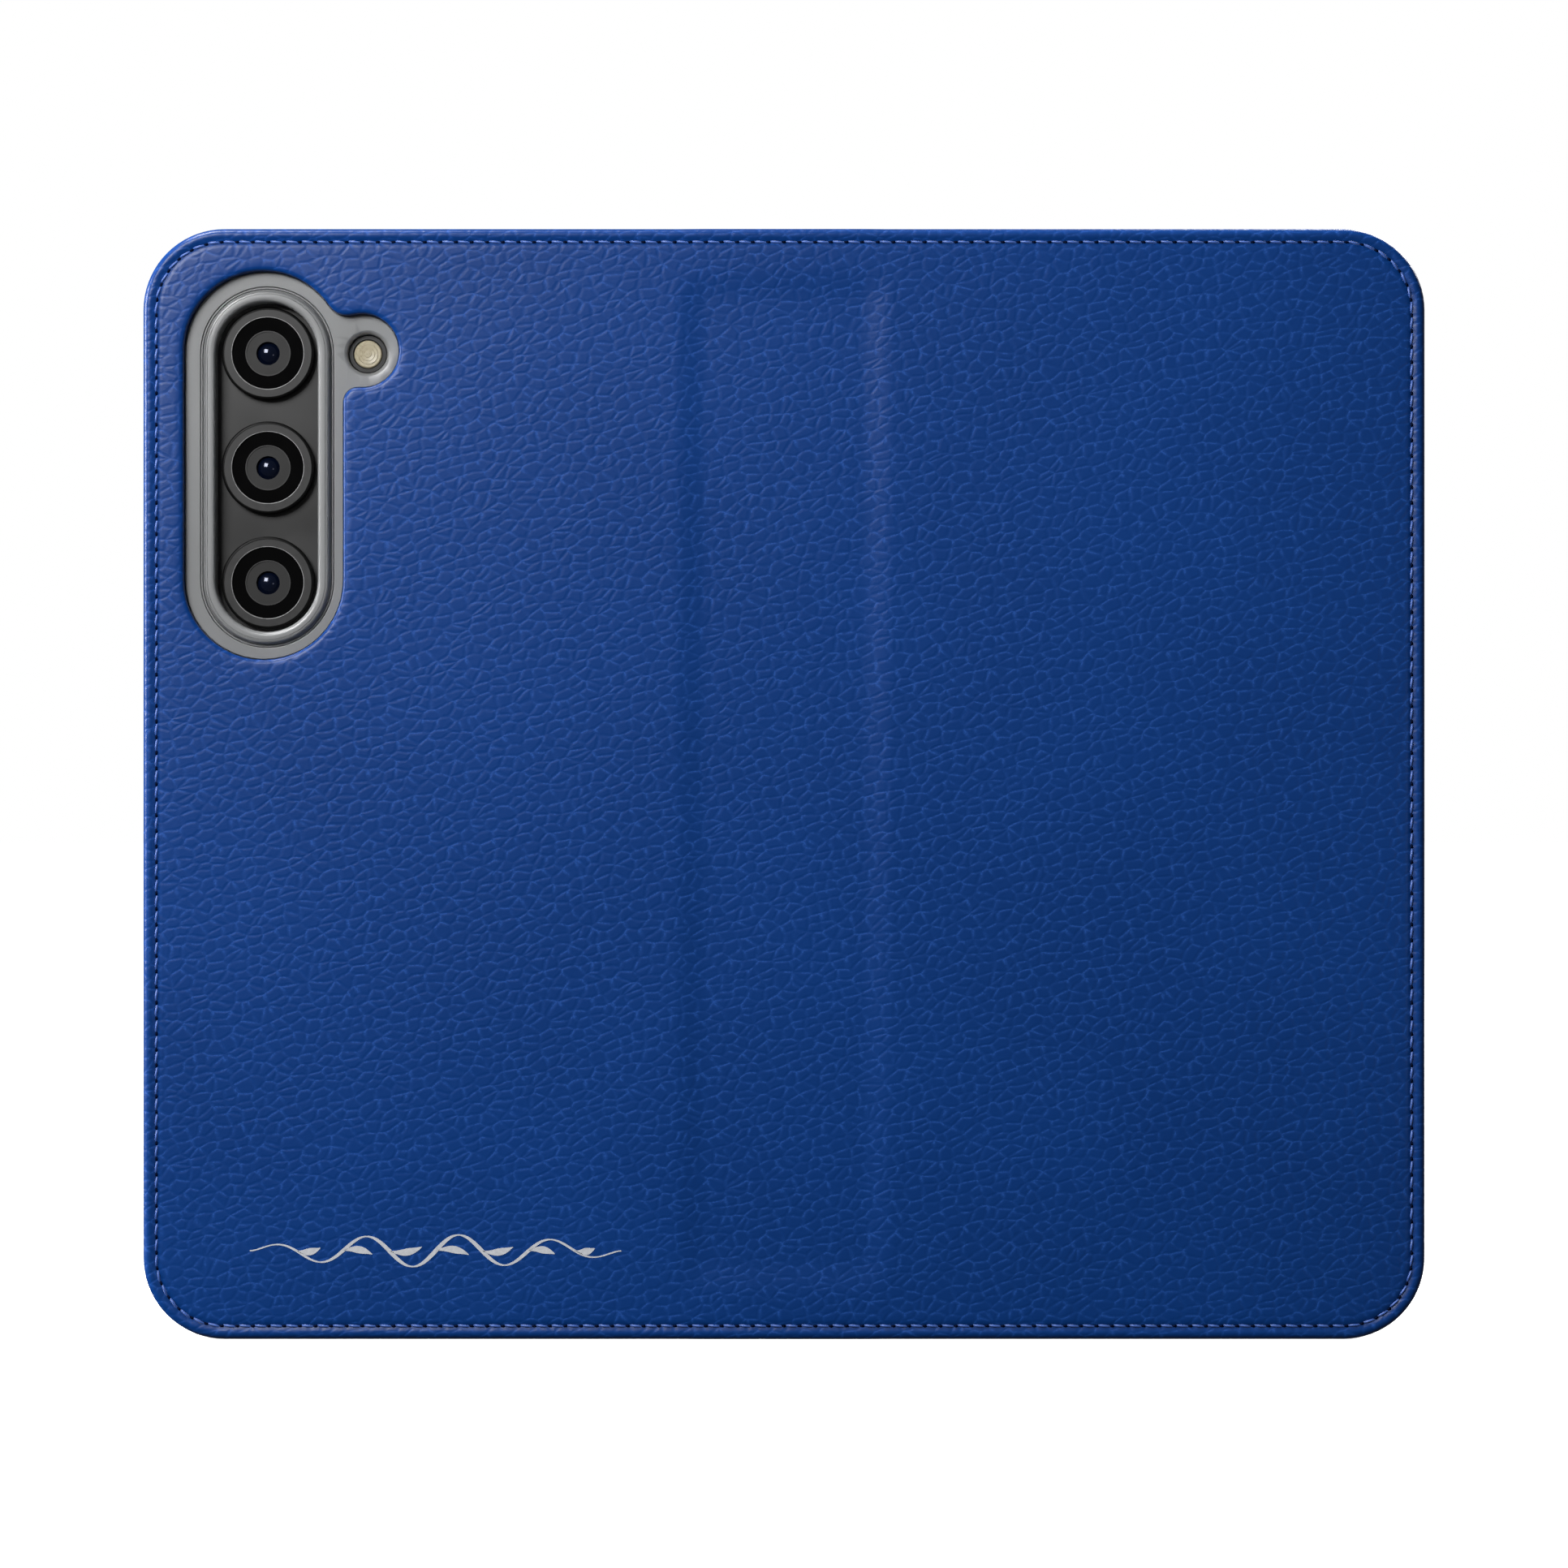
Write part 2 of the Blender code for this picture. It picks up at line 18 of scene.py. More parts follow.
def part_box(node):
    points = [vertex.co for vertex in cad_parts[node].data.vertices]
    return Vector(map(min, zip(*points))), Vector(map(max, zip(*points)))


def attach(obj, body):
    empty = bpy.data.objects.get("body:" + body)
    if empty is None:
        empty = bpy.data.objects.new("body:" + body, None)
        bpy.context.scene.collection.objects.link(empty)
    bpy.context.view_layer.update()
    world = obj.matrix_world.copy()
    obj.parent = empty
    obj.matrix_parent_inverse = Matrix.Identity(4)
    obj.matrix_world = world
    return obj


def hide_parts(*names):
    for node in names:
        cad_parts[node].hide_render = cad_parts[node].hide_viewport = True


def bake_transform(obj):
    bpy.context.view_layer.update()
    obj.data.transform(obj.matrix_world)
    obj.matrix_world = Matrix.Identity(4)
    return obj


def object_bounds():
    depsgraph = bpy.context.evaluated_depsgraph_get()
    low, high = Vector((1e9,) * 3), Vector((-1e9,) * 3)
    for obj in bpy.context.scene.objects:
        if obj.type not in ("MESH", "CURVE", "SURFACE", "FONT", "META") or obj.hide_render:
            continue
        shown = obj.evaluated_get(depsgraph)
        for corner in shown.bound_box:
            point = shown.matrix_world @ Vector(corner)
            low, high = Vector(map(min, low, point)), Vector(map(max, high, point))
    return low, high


MM = 0.001

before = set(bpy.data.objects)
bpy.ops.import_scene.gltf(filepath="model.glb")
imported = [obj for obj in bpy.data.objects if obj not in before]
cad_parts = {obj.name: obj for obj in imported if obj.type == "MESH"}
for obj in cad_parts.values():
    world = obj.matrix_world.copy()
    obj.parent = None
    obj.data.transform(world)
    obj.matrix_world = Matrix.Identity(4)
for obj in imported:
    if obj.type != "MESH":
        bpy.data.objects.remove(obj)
frame_low, frame_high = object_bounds()
frame_size = frame_high - frame_low
print("size in mm:", [round(side / MM, 1) for side in frame_size])

# %% [markdown]
# The driving sizes come from the frame. A depth is measured from the covers' outside inwards, along
# +Y, as a maker would measure a stack of layers. A few sizes belong to the leatherwork alone, such as
# the round of the corners, the shallow hollow of the spine and the line that the stitches follow.

# %% Driving sizes
back_low, back_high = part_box("back_skin")
_, front_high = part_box("front_skin")
_, tray_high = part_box("phone_tray")
phone_low, phone_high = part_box("phone_frame")

HALF_WIDTH = front_high.x
HEIGHT = front_high.z
OUTSIDE = back_low.y
COVER_DEPTH = back_high.y - back_low.y
CORNER = 11.2 * MM
STITCH_INSET = 1.9 * MM

SPINE_DEPTH = 0.27 * MM          # how far the leather sinks between the boards
SPINE_THINNER = 0.6 * MM         # the spine has no board in it
SPINE_EDGE = 12.85 * MM          # middle of the slope at each side of the hollow
SPINE_SLOPE = 4.6 * MM
HOLLOW_BOTTOM = 8.6 * MM
HOLLOW_TOP = 7.7 * MM
HOLLOW_END_SLOPE = 5.4 * MM


def depth_of(y):
    return y - OUTSIDE


def ease(value):
    """0 below 0, 1 above 1, and a smooth step between."""
    value = min(max(value, 0.0), 1.0)
    return value * value * (3 - 2 * value)


def spread(start, end, step):
    """Evenly spaced values from start to end, about a step apart."""
    count = max(1, round((end - start) / step))
    return [start + (end - start) * k / count for k in range(count + 1)]


def spine_share(x):
    """1 across the spine, 0 over the boards."""
    return ease((SPINE_EDGE + SPINE_SLOPE / 2 - abs(x)) / SPINE_SLOPE)


def hollow(x, z):
    """Depth of the spine's hollow, which stops short of the upper and lower edges."""
    bottom = ease((z - HOLLOW_BOTTOM) / HOLLOW_END_SLOPE + 0.5)
    top = ease((HEIGHT - HOLLOW_TOP - z) / HOLLOW_END_SLOPE + 0.5)
    return SPINE_DEPTH * spine_share(x) * bottom * top


def thickness(x):
    return COVER_DEPTH - SPINE_THINNER * spine_share(x)


print("open width in mm:", round(2 * HALF_WIDTH / MM, 1))
print("cover thickness in mm:", round(COVER_DEPTH / MM, 2))

# %% [markdown]
# Materials share a small helper that adds a node and fills in its inputs. A value that is a socket is
# linked, and any other value is set on the input. This keeps each material as short as its recipe.

# %% Node helpers
def add(tree, kind, inputs=None, **settings):
    made = tree.nodes.new(kind)
    for name, value in settings.items():
        setattr(made, name, value)
    for key, value in (inputs or {}).items():
        if isinstance(value, bpy.types.NodeSocket):
            tree.links.new(value, made.inputs[key])
        else:
            made.inputs[key].default_value = value
    return made


def math_node(tree, operation, first, second=0.0, third=0.0):
    return add(tree, "ShaderNodeMath", {0: first, 1: second, 2: third}, operation=operation).outputs[0]


def blend_range(tree, value, low, high, to_low=0.0, to_high=1.0):
    inputs = {"Value": value, "From Min": low, "From Max": high, "To Min": to_low, "To Max": to_high}
    return add(tree, "ShaderNodeMapRange", inputs, interpolation_type="SMOOTHSTEP").outputs["Result"]


def mix_colours(tree, share, first, second):
    mix = add(tree, "ShaderNodeMix", {0: share, 6: first, 7: second}, data_type="RGBA")
    return mix.outputs[2]


def vector_math(tree, operation, inputs):
    return add(tree, "ShaderNodeVectorMath", inputs, operation=operation).outputs[0]


def noise(tree, place, scale, detail, output="Fac", **settings):
    inputs = {"Vector": place, "Scale": scale, "Detail": detail}
    return add(tree, "ShaderNodeTexNoise", inputs, **settings).outputs[output]


def object_place(tree):
    return add(tree, "ShaderNodeTexCoord").outputs["Object"]


def flat_place(tree):
    return add(tree, "ShaderNodeUVMap", uv_map="Flat").outputs["UV"]


def raise_surface(tree, shader, height, distance):
    """Bump the surface by a height from 0 to 1, where 1 stands the distance proud."""
    bump = add(tree, "ShaderNodeBump", {"Height": height, "Distance": distance})
    tree.links.new(bump.outputs["Normal"], shader.inputs["Normal"])


def new_material(name, roughness, **sockets):
    """A material with its Principled shader; sockets are plain values by name."""
    made = bpy.data.materials.new(name)
    made.use_nodes = True
    shader = made.node_tree.nodes["Principled BSDF"]
    shader.inputs["Roughness"].default_value = roughness
    for key, value in sockets.items():
        shader.inputs[key.replace("_", " ")].default_value = value
    return made, made.node_tree, shader


def group_sockets(tree, inputs, outputs):
    for name, kind, value in inputs:
        socket = tree.interface.new_socket(name, in_out="INPUT", socket_type="NodeSocket" + kind)
        if value is not None:
            socket.default_value = value
    for name, kind in outputs:
        tree.interface.new_socket(name, in_out="OUTPUT", socket_type="NodeSocket" + kind)
    return tree.nodes.new("NodeGroupInput"), tree.nodes.new("NodeGroupOutput")


# %% [markdown]
# The leather has a pressed pebble grain: cushions about 1.6 mm across with soft creases between them.
# A Voronoi texture gives cells like these, and its distance to the edge makes the creases. Noise warps
# the cells first, because real grain drifts in wavy rows. More noise breaks the creases up, because a
# pressed crease is never an even net. The creases are also painted paler, most on the upper side of a
# cushion: a painted highlight, where the light from above catches them. The pattern reads the piece's
# own UV map, laid out flat in metres, so the grain stays put when the leather bends.

# %% Group: pebble grain
GRAIN_TILT = -0.3                # in radians, between the rows of pebbles and the cover's edge
GRAIN_STRETCH = (0.8, 1.2, 1.0)  # a pebble is wider than it is high


def cells(tree, place, scale, randomness, feature, output):
    inputs = {"Vector": place, "Scale": scale, "Randomness": randomness}
    return add(tree, "ShaderNodeTexVoronoi", inputs, voronoi_dimensions="2D", feature=feature).outputs[output]


def pebble_grain_group():
    tree = bpy.data.node_groups.new("pebble grain", "ShaderNodeTree")
    entry, leave = group_sockets(
        tree,
        [
            ("Place", "Vector", None),
            ("Pebble Size", "Float", 1.7 * MM),
            ("Crease Width", "Float", 0.22),
            ("Wander", "Float", 0.7),
        ],
        [("Height", "Float"), ("Crease", "Float")],
    )
    get = entry.outputs
    density = math_node(tree, "DIVIDE", 1.0, get["Pebble Size"])
    place = vector_math(tree, "SCALE", {0: get["Place"], "Scale": density})
    drift = noise(tree, place, 0.33, 1.0, "Color", noise_dimensions="2D")
    pores = noise(tree, place, 7.0, 3.0, noise_dimensions="2D")
    relief = noise(tree, place, 0.5, 1.0, noise_dimensions="2D")
    breaks = noise(tree, place, 1.3, 1.0, noise_dimensions="2D")

    centred = vector_math(tree, "SUBTRACT", {0: drift, 1: (0.5, 0.5, 0.5)})
    pushed = vector_math(tree, "SCALE", {0: centred, "Scale": get["Wander"]})
    warped = vector_math(tree, "ADD", {0: place, 1: pushed})
    level = add(tree, "ShaderNodeVectorRotate", {"Vector": warped, "Angle": GRAIN_TILT},
                rotation_type="Z_AXIS").outputs[0]
    slanted = add(tree, "ShaderNodeMapping", {"Vector": level, "Scale": GRAIN_STRETCH}).outputs[0]
    edge = cells(tree, slanted, 1.0, 0.9, "DISTANCE_TO_EDGE", "Distance")
    middle = cells(tree, slanted, 1.0, 0.9, "F1", "Position")
    wrinkles = cells(tree, slanted, 2.3, 1.0, "DISTANCE_TO_EDGE", "Distance")
    offset = vector_math(tree, "SUBTRACT", {0: slanted, 1: middle})
    above = add(tree, "ShaderNodeSeparateXYZ", {0: offset}).outputs["Y"]

    # The crease mask, weighted below to the upper side of each cushion, makes a painted highlight.
    crease_and_highlight = blend_range(tree, edge, 0.0, get["Crease Width"], 1.0, 0.0)
    for value, low, high, least in ((above, -0.15, 0.4, 0.25), (pores, 0.3, 0.65, 0.35),
                                    (breaks, 0.36, 0.6, 0.15)):
        crease_and_highlight = math_node(tree, "MULTIPLY", crease_and_highlight, blend_range(tree, value, low, high, least, 1.0))
    cushion = blend_range(tree, edge, 0.0, 0.3)
    height = math_node(tree, "MULTIPLY", cushion, blend_range(tree, relief, 0.3, 0.7, 0.6, 1.0))
    height = math_node(tree, "MULTIPLY_ADD", blend_range(tree, wrinkles, 0.0, 0.25), 0.06, height)
    height = math_node(tree, "MULTIPLY_ADD", pores, 0.05, height)
    tree.links.new(height, leave.inputs["Height"])
    tree.links.new(crease_and_highlight, leave.inputs["Crease"])
    return tree


PEBBLES = pebble_grain_group()


def leather(name, dark, light, size, depth, roughness):
    """Pebbled leather: dark and light are its colours, depth is the height of a pebble."""
    made, tree, shader = new_material(name, roughness, Specular_IOR_Level=0.22)
    place = flat_place(tree)
    grain = add(tree, "ShaderNodeGroup", node_tree=PEBBLES)
    tree.links.new(place, grain.inputs["Place"])
    grain.inputs["Pebble Size"].default_value = size
    crease_and_highlight = grain.outputs["Crease"]
    cloud = noise(tree, place, 28.0, 3.0)
    base = mix_colours(tree, blend_range(tree, cloud, 0.35, 0.7), (*dark, 1), (*light, 1))
    # The creases are painted paler: a painted highlight where the light catches them.
    crease_highlight = (0.007 + light[0], 2.0 * light[1], 1.75 * light[2], 1)
    tree.links.new(mix_colours(tree, crease_and_highlight, base, crease_highlight), shader.inputs["Base Color"])
    rough = math_node(tree, "MULTIPLY_ADD", crease_and_highlight, 0.12, roughness - 0.03)
    tree.links.new(rough, shader.inputs["Roughness"])
    raise_surface(tree, shader, grain.outputs["Height"], depth)
    return made


SKIN_LEATHER = leather("royal_blue_leather", dark=(0.0004, 0.0265, 0.140), light=(0.0006, 0.0295, 0.154),
                       size=1.6 * MM, depth=0.022 * MM, roughness=0.37)
POCKET_LEATHER = leather("pocket_leather", dark=(0.0015, 0.036, 0.165), light=(0.002, 0.042, 0.19),
                         size=0.9 * MM, depth=0.03 * MM, roughness=0.4)
print("leathers:", SKIN_LEATHER.name, POCKET_LEATHER.name)

# %% [markdown]
# The lining is a close microfibre. Its nap is two fine noises, one for the fibres and one for the
# shading left where a hand has brushed it, with a little sheen as on any short pile.

# %% Lining, thread and foil
def lining_cloth():
    made, tree, shader = new_material("navy_microfibre", 0.85, Sheen_Weight=0.25, Sheen_Roughness=0.4)
    place = flat_place(tree)
    fibres = noise(tree, place, 5200.0, 3.0)
    brushed = noise(tree, place, 60.0, 2.0)
    share = blend_range(tree, math_node(tree, "MULTIPLY", fibres, brushed), 0.12, 0.4)
    colour = mix_colours(tree, share, (0.010, 0.030, 0.100, 1), (0.018, 0.050, 0.155, 1))
    tree.links.new(colour, shader.inputs["Base Color"])
    raise_surface(tree, shader, fibres, 0.02 * MM)
    return made


def fine_look(name, dark, light, scale, detail, relief, roughness, **sockets):
    """A finish whose colour and relief follow one fine noise, as on twisted thread or rubbed foil."""
    made, tree, shader = new_material(name, roughness, **sockets)
    grain = noise(tree, object_place(tree), scale, detail)
    tree.links.new(mix_colours(tree, grain, (*dark, 1), (*light, 1)), shader.inputs["Base Color"])
    raise_surface(tree, shader, grain, relief)
    return made


def thread_look(name, colour, roughness, **sockets):
    shaded = [0.6 * c for c in colour]
    return fine_look(name, shaded, colour, 9000.0, 1.0, 0.03 * MM, roughness, **sockets)


LINING = lining_cloth()
THREAD = thread_look("blue_thread", (0.035, 0.105, 0.40), 0.4, Sheen_Weight=0.2)
# Near-black finish for the needle holes: painted shade, standing in for the dark inside each hole.
PAINTED_HOLE_SHADE = thread_look("painted_hole_shade", (0.0004, 0.003, 0.020), 0.8, Specular_IOR_Level=0.05)
FOIL = fine_look("silver_foil", (0.42, 0.43, 0.46), (0.66, 0.67, 0.70), 1800.0, 4.0, 0.02 * MM, 0.35,
                 Metallic=0.25)
print("cloth, thread and foil:", LINING.name, THREAD.name, PAINTED_HOLE_SHADE.name, FOIL.name)

# %% [markdown]
# The tray is clear plastic with a faint smoke tint and a satin skin. The phone is glass and anodised
# metal. None of these is a flat colour: each has a fine noise in its roughness, as a handled thing has.

# %% Plastic, metal and glass
def handled(name, colour, roughness, wear, scale=900.0, shade=0.12, **sockets):
    """A smooth finish whose roughness and colour vary a little over the surface."""
    made, tree, shader = new_material(name, roughness, **sockets)
    smudge = noise(tree, object_place(tree), scale, 4.0)
    rough = blend_range(tree, smudge, 0.3, 0.7, roughness - wear, roughness + wear)
    tree.links.new(rough, shader.inputs["Roughness"])
    dull = (*[(1 - shade) * c for c in colour], 1)
    fresh = (*[(1 + shade) * c for c in colour], 1)
    tree.links.new(mix_colours(tree, smudge, dull, fresh), shader.inputs["Base Color"])
    return made


CLEAR = handled("smoky_clear_plastic", (0.255, 0.26, 0.265), 0.3, 0.02, 30.0, 0.03,
                Transmission_Weight=0.35, IOR=1.5)
GRAPHITE = handled("graphite_glass", (0.0105, 0.0105, 0.0107), 0.36, 0.04, 120.0, Specular_IOR_Level=0.4)
FRAME_METAL = handled("graphite_metal", (0.15, 0.15, 0.155), 0.3, 0.03, 2500.0, 0.04, Metallic=0.5)
BLACK_METAL = handled("black_metal", (0.0025, 0.0025, 0.0025), 0.4, 0.05, 1500.0, Specular_IOR_Level=0.08)
RING_METAL = handled("lens_ring_metal", (0.013, 0.013, 0.0133), 0.4, 0.04, 1500.0, Specular_IOR_Level=0.35)
# The lens collar's cut edge: partly bare cut metal, partly a painted highlight, so its colour is far lighter
# than the ring's.
CUT_EDGE_AND_HIGHLIGHT = handled("cut_edge_metal_and_highlight", (0.26, 0.26, 0.265), 0.3, 0.05, 1500.0, Metallic=0.4)
LENS_BLACK = handled("lens_black", (0.0008, 0.0008, 0.0009), 0.08, 0.02, 300.0, Specular_IOR_Level=0.25)
LENS_GREY = handled("lens_stop_grey", (0.004, 0.004, 0.004), 0.5, 0.04, 300.0, Specular_IOR_Level=0.3)
PUPIL = handled("coated_pupil", (0.002, 0.005, 0.018), 0.13, 0.02, 300.0, Metallic=0.5, Coat_Weight=0.2)
SCREEN_BORDER = handled("screen_border", (0.0015, 0.0015, 0.0017), 0.06, 0.02, 40.0)
SCREEN_GLASS = handled("screen_display", (0.004, 0.0045, 0.006), 0.07, 0.03, 40.0)
FLASH_YELLOW = handled("flash_diffuser", (0.33, 0.29, 0.20), 0.3, 0.05, 2500.0, 0.25)
BOARD_GREY = handled("binders_board", (0.40, 0.385, 0.36), 0.9, 0.05, 3500.0)
INNER_BLOCK = handled("inner_block", (0.05, 0.05, 0.052), 0.6, 0.08, 700.0)

for node_name, look in (("back_board", BOARD_GREY), ("front_board", BOARD_GREY), ("phone_core", INNER_BLOCK),
                        ("phone_back", GRAPHITE)):
    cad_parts[node_name].data.materials.clear()
    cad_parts[node_name].data.materials.append(look)
print("materials:", len(bpy.data.materials))

# %% [markdown]
# Every piece ends the same way: its faces are turned outwards, it gets a flat UV map, and it is shaded
# smooth up to a sharp angle. One helper does that for all of them.

# %% Finish a piece
SHARP = math.radians(38)
piece_notes = []


def to_scene(name, data):
    made = bpy.data.objects.new(name, data)
    bpy.context.scene.collection.objects.link(made)
    return made


def finish_piece(name, bm, looks, flat=None):
    """Make a mesh object from bm. flat gives each vertex its place on the flat hide, for the UV map."""
    bmesh.ops.recalc_face_normals(bm, faces=bm.faces)
    layer = bm.loops.layers.uv.new("Flat")
    for face in bm.faces:
        for loop in face.loops:
            place = loop.vert.co
            loop[layer].uv = flat[loop.vert] if flat else (place.x, place.z)
    mesh = bpy.data.meshes.new(name)
    bm.to_mesh(mesh)
    bm.free()
    mesh.shade_smooth()
    mesh.set_sharp_from_angle(angle=SHARP)
    for look in looks:
        mesh.materials.append(look)
    piece = to_scene(name, mesh)
    piece_notes.append((name, len(mesh.polygons)))
    return piece


MIDDLE_Z = HEIGHT / 2


def bend_with_spine(piece, side):
    """Bake the piece's place into its mesh: side is -1 for the back cover and 1 for the front cover, and both
    are baked alike.
    """
    if side < 0:
        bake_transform(piece)
    else:
        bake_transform(piece)


# %% [markdown]
# The outlines are drawn once. A cover is half of the open case: its path starts under the middle of the
# spine, goes round both corners, and ends above it. Drawing the same path at several insets gives rings
# that match point for point, so a border profile is only a list of insets and depths. The path has close
# points near the spine, where the leather bends, and wide ones where it is flat.

# %% Outlines of a cover and of the camera window
CORNER_STEPS = 18
ALONG = spread(0, 10 * MM, 1.0 * MM) + spread(10 * MM, 15.6 * MM, 0.4 * MM)[1:]
ALONG += spread(15.6 * MM, HALF_WIDTH - CORNER, 3.2 * MM)[1:]
UPWARD = spread(CORNER, HEIGHT - CORNER, 3.2 * MM)


def arc(centre_x, centre_z, radius, start_deg, end_deg, steps):
    points = []
    for k in range(steps + 1):
        angle = math.radians(start_deg + (end_deg - start_deg) * k / steps)
        points.append((centre_x + radius * math.cos(angle), centre_z + radius * math.sin(angle)))
    return points


def cover_path(side, inset, start_x=0.0):
    """Open path round one cover at a distance inside its outline, from the spine to the spine."""
    radius = CORNER - inset
    centre_x = HALF_WIDTH - CORNER
    straight = [max(x, start_x) for x in ALONG[:-1]]
    points = [(x, inset) for x in straight]
    points += arc(centre_x, CORNER, radius, -90, 0, CORNER_STEPS)
    points += [(HALF_WIDTH - inset, z) for z in UPWARD[1:-1]]
    points += arc(centre_x, HEIGHT - CORNER, radius, 0, 90, CORNER_STEPS)
    points += [(x, HEIGHT - inset) for x in reversed(straight)]
    return [(side * x, z) for x, z in points]


lens_boxes = {place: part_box(f"lens_ring_{place}") for place in ("top", "middle", "bottom")}
lens_centres = {place: (low + high) / 2 for place, (low, high) in lens_boxes.items()}
flash_low, flash_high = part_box("flash_bezel")
flash_centre = (flash_low + flash_high) / 2

SLOT_STEPS = 24
WINDOW_X = lens_centres["middle"].x - 0.4 * MM
WINDOW_Z = lens_centres["middle"].z + 0.2 * MM
WINDOW_RADIUS = 11.0 * MM
WINDOW_REACH = 15.8 * MM         # from the middle of the window to the centre of each round end
LOBE = Vector((flash_centre.x - 0.6 * MM, flash_centre.z + 0.3 * MM))
LOBE_RADIUS = 5.1 * MM
FILLET_BELOW = 2.0 * MM
FILLET_ABOVE = 3.0 * MM


def meeting_point(first, first_radius, second, second_radius):
    """The point on the left of the line first-second that lies at both distances."""
    gap = second - first
    along = (first_radius**2 - second_radius**2 + gap.length_squared) / (2 * gap.length)
    off = math.sqrt(first_radius**2 - along**2)
    unit = gap.normalized()
    return first + along * unit + off * Vector((-unit.y, unit.x))


def angle_of(centre, point):
    return math.degrees(math.atan2(point.y - centre.y, point.x - centre.x))


def camera_window(grow=0.0):
    """Closed outline: an upright slot with a round lobe for the flash, blended by two fillets."""
    radius = WINDOW_RADIUS + grow
    lobe_radius = LOBE_RADIUS + grow
    below = FILLET_BELOW - grow
    above = FILLET_ABOVE - grow
    top = Vector((WINDOW_X, WINDOW_Z + WINDOW_REACH))
    low_x = WINDOW_X + radius + below
    low = Vector((low_x, LOBE.y - math.sqrt((lobe_radius + below) ** 2 - (low_x - LOBE.x) ** 2)))
    high = meeting_point(top, radius + above, LOBE, lobe_radius + above)
    points = arc(WINDOW_X, WINDOW_Z - WINDOW_REACH, radius, 180, 360, SLOT_STEPS)
    points += arc(low.x, low.y, below, 180, angle_of(low, LOBE), 6)
    points += arc(LOBE.x, LOBE.y, lobe_radius, angle_of(LOBE, low), angle_of(LOBE, high), SLOT_STEPS)[1:]
    points += arc(high.x, high.y, above, angle_of(high, LOBE), angle_of(high, top), 6)[1:]
    points += arc(top.x, top.y, radius, angle_of(top, high), 180, SLOT_STEPS)[1:]
    return points


def inside_outline(point, outline):
    """Even-odd test of a point against a closed outline."""
    x, z = point
    inside = False
    for (x1, z1), (x2, z2) in zip(outline, outline[1:] + outline[:1]):
        if (z1 > z) != (z2 > z) and x < x1 + (z - z1) * (x2 - x1) / (z2 - z1):
            inside = not inside
    return inside


def inside_cover(x, z, inset):
    """Whether a point is inside a cover's outline by more than the inset."""
    x = abs(x)
    if x > HALF_WIDTH - inset or not inset < z < HEIGHT - inset:
        return False
    over_x = x - (HALF_WIDTH - CORNER)
    over_z = max(CORNER - z, z - (HEIGHT - CORNER))
    return over_x < 0 or over_z < 0 or math.hypot(over_x, over_z) < CORNER - inset


print("points round one cover:", len(cover_path(1, 0)), "and round the window:", len(camera_window()))

# %% [markdown]
# A cover's skin is a closed shell: a face, a rolled border, and a hidden back. The border is a bead of
# leather turned over the edge of the board, with a sewn groove beside it, and it comes from rings of the
# path. The face inside the border is a flat sheet with a hollow and a window in it. A grid of points with
# a Delaunay triangulation fills it, because that copes with the round corners and the window without any
# patchwork. The shell stops on the middle line of the spine, where the other cover's shell meets it.

# %% Build a covering sheet
GRID_X = ALONG + spread(HALF_WIDTH - CORNER, HALF_WIDTH - 3 * MM, 3.2 * MM)[1:]
GRID_Z = spread(3.4 * MM, 6.2 * MM, 1.4 * MM)[:-1] + spread(6.2 * MM, 11.0 * MM, 0.4 * MM)
GRID_Z += spread(11.0 * MM, HEIGHT - 10.2 * MM, 3.0 * MM)[1:]
GRID_Z += spread(HEIGHT - 10.2 * MM, HEIGHT - 5.2 * MM, 0.4 * MM)[1:] + [HEIGHT - 3.6 * MM]


def tile(bm, flat, side, ring, hole, depth_at, inset, keep_out):
    """Fill the area between a ring, the middle line of the spine and a hole with triangles."""
    column = []
    grid = []
    for z in GRID_Z:
        column.append(bm.verts.new((0.0, OUTSIDE + depth_at(0.0, z), z)))
        for x in GRID_X[1:]:
            point = (side * x, z)
            if inside_cover(*point, inset) and not (keep_out and inside_outline(point, keep_out)):
                grid.append(bm.verts.new((point[0], OUTSIDE + depth_at(*point), z)))
    column.reverse()
    for vert in column + grid:
        flat[vert] = (vert.co.x, vert.co.z)
    outer = ring + column
    verts = outer + hole + grid
    edges = [(k, (k + 1) % len(outer)) for k in range(len(outer))]
    first = len(outer)
    edges += [(first + k, first + (k + 1) % len(hole)) for k in range(len(hole))]
    flat_points = [Vector((vert.co.x, vert.co.z)) for vert in verts]
    _, _, faces, origin, _, _ = delaunay_2d_cdt(flat_points, edges, [], 1, 1e-7)
    hole_outline = [(vert.co.x, vert.co.z) for vert in hole]
    for face in faces:
        corners = [verts[origin[k][0]] for k in face]
        middle = sum((vert.co for vert in corners), Vector()) / len(corners)
        if not (hole and inside_outline((middle.x, middle.z), hole_outline)):
            bm.faces.new(corners)


def ring_of(bm, flat, points, flat_points, depths):
    """One ring of vertices at the given depths, with its place on the flat hide."""
    ring = []
    for (x, z), flat_point, depth in zip(points, flat_points, depths):
        vert = bm.verts.new((x, OUTSIDE + depth, z))
        flat[vert] = flat_point
        ring.append(vert)
    return ring


def join_rings(bm, first, second, closed):
    last = len(first) if closed else len(first) - 1
    for k in range(last):
        following = (k + 1) % len(first)
        bm.faces.new((first[k], first[following], second[following], second[k]))


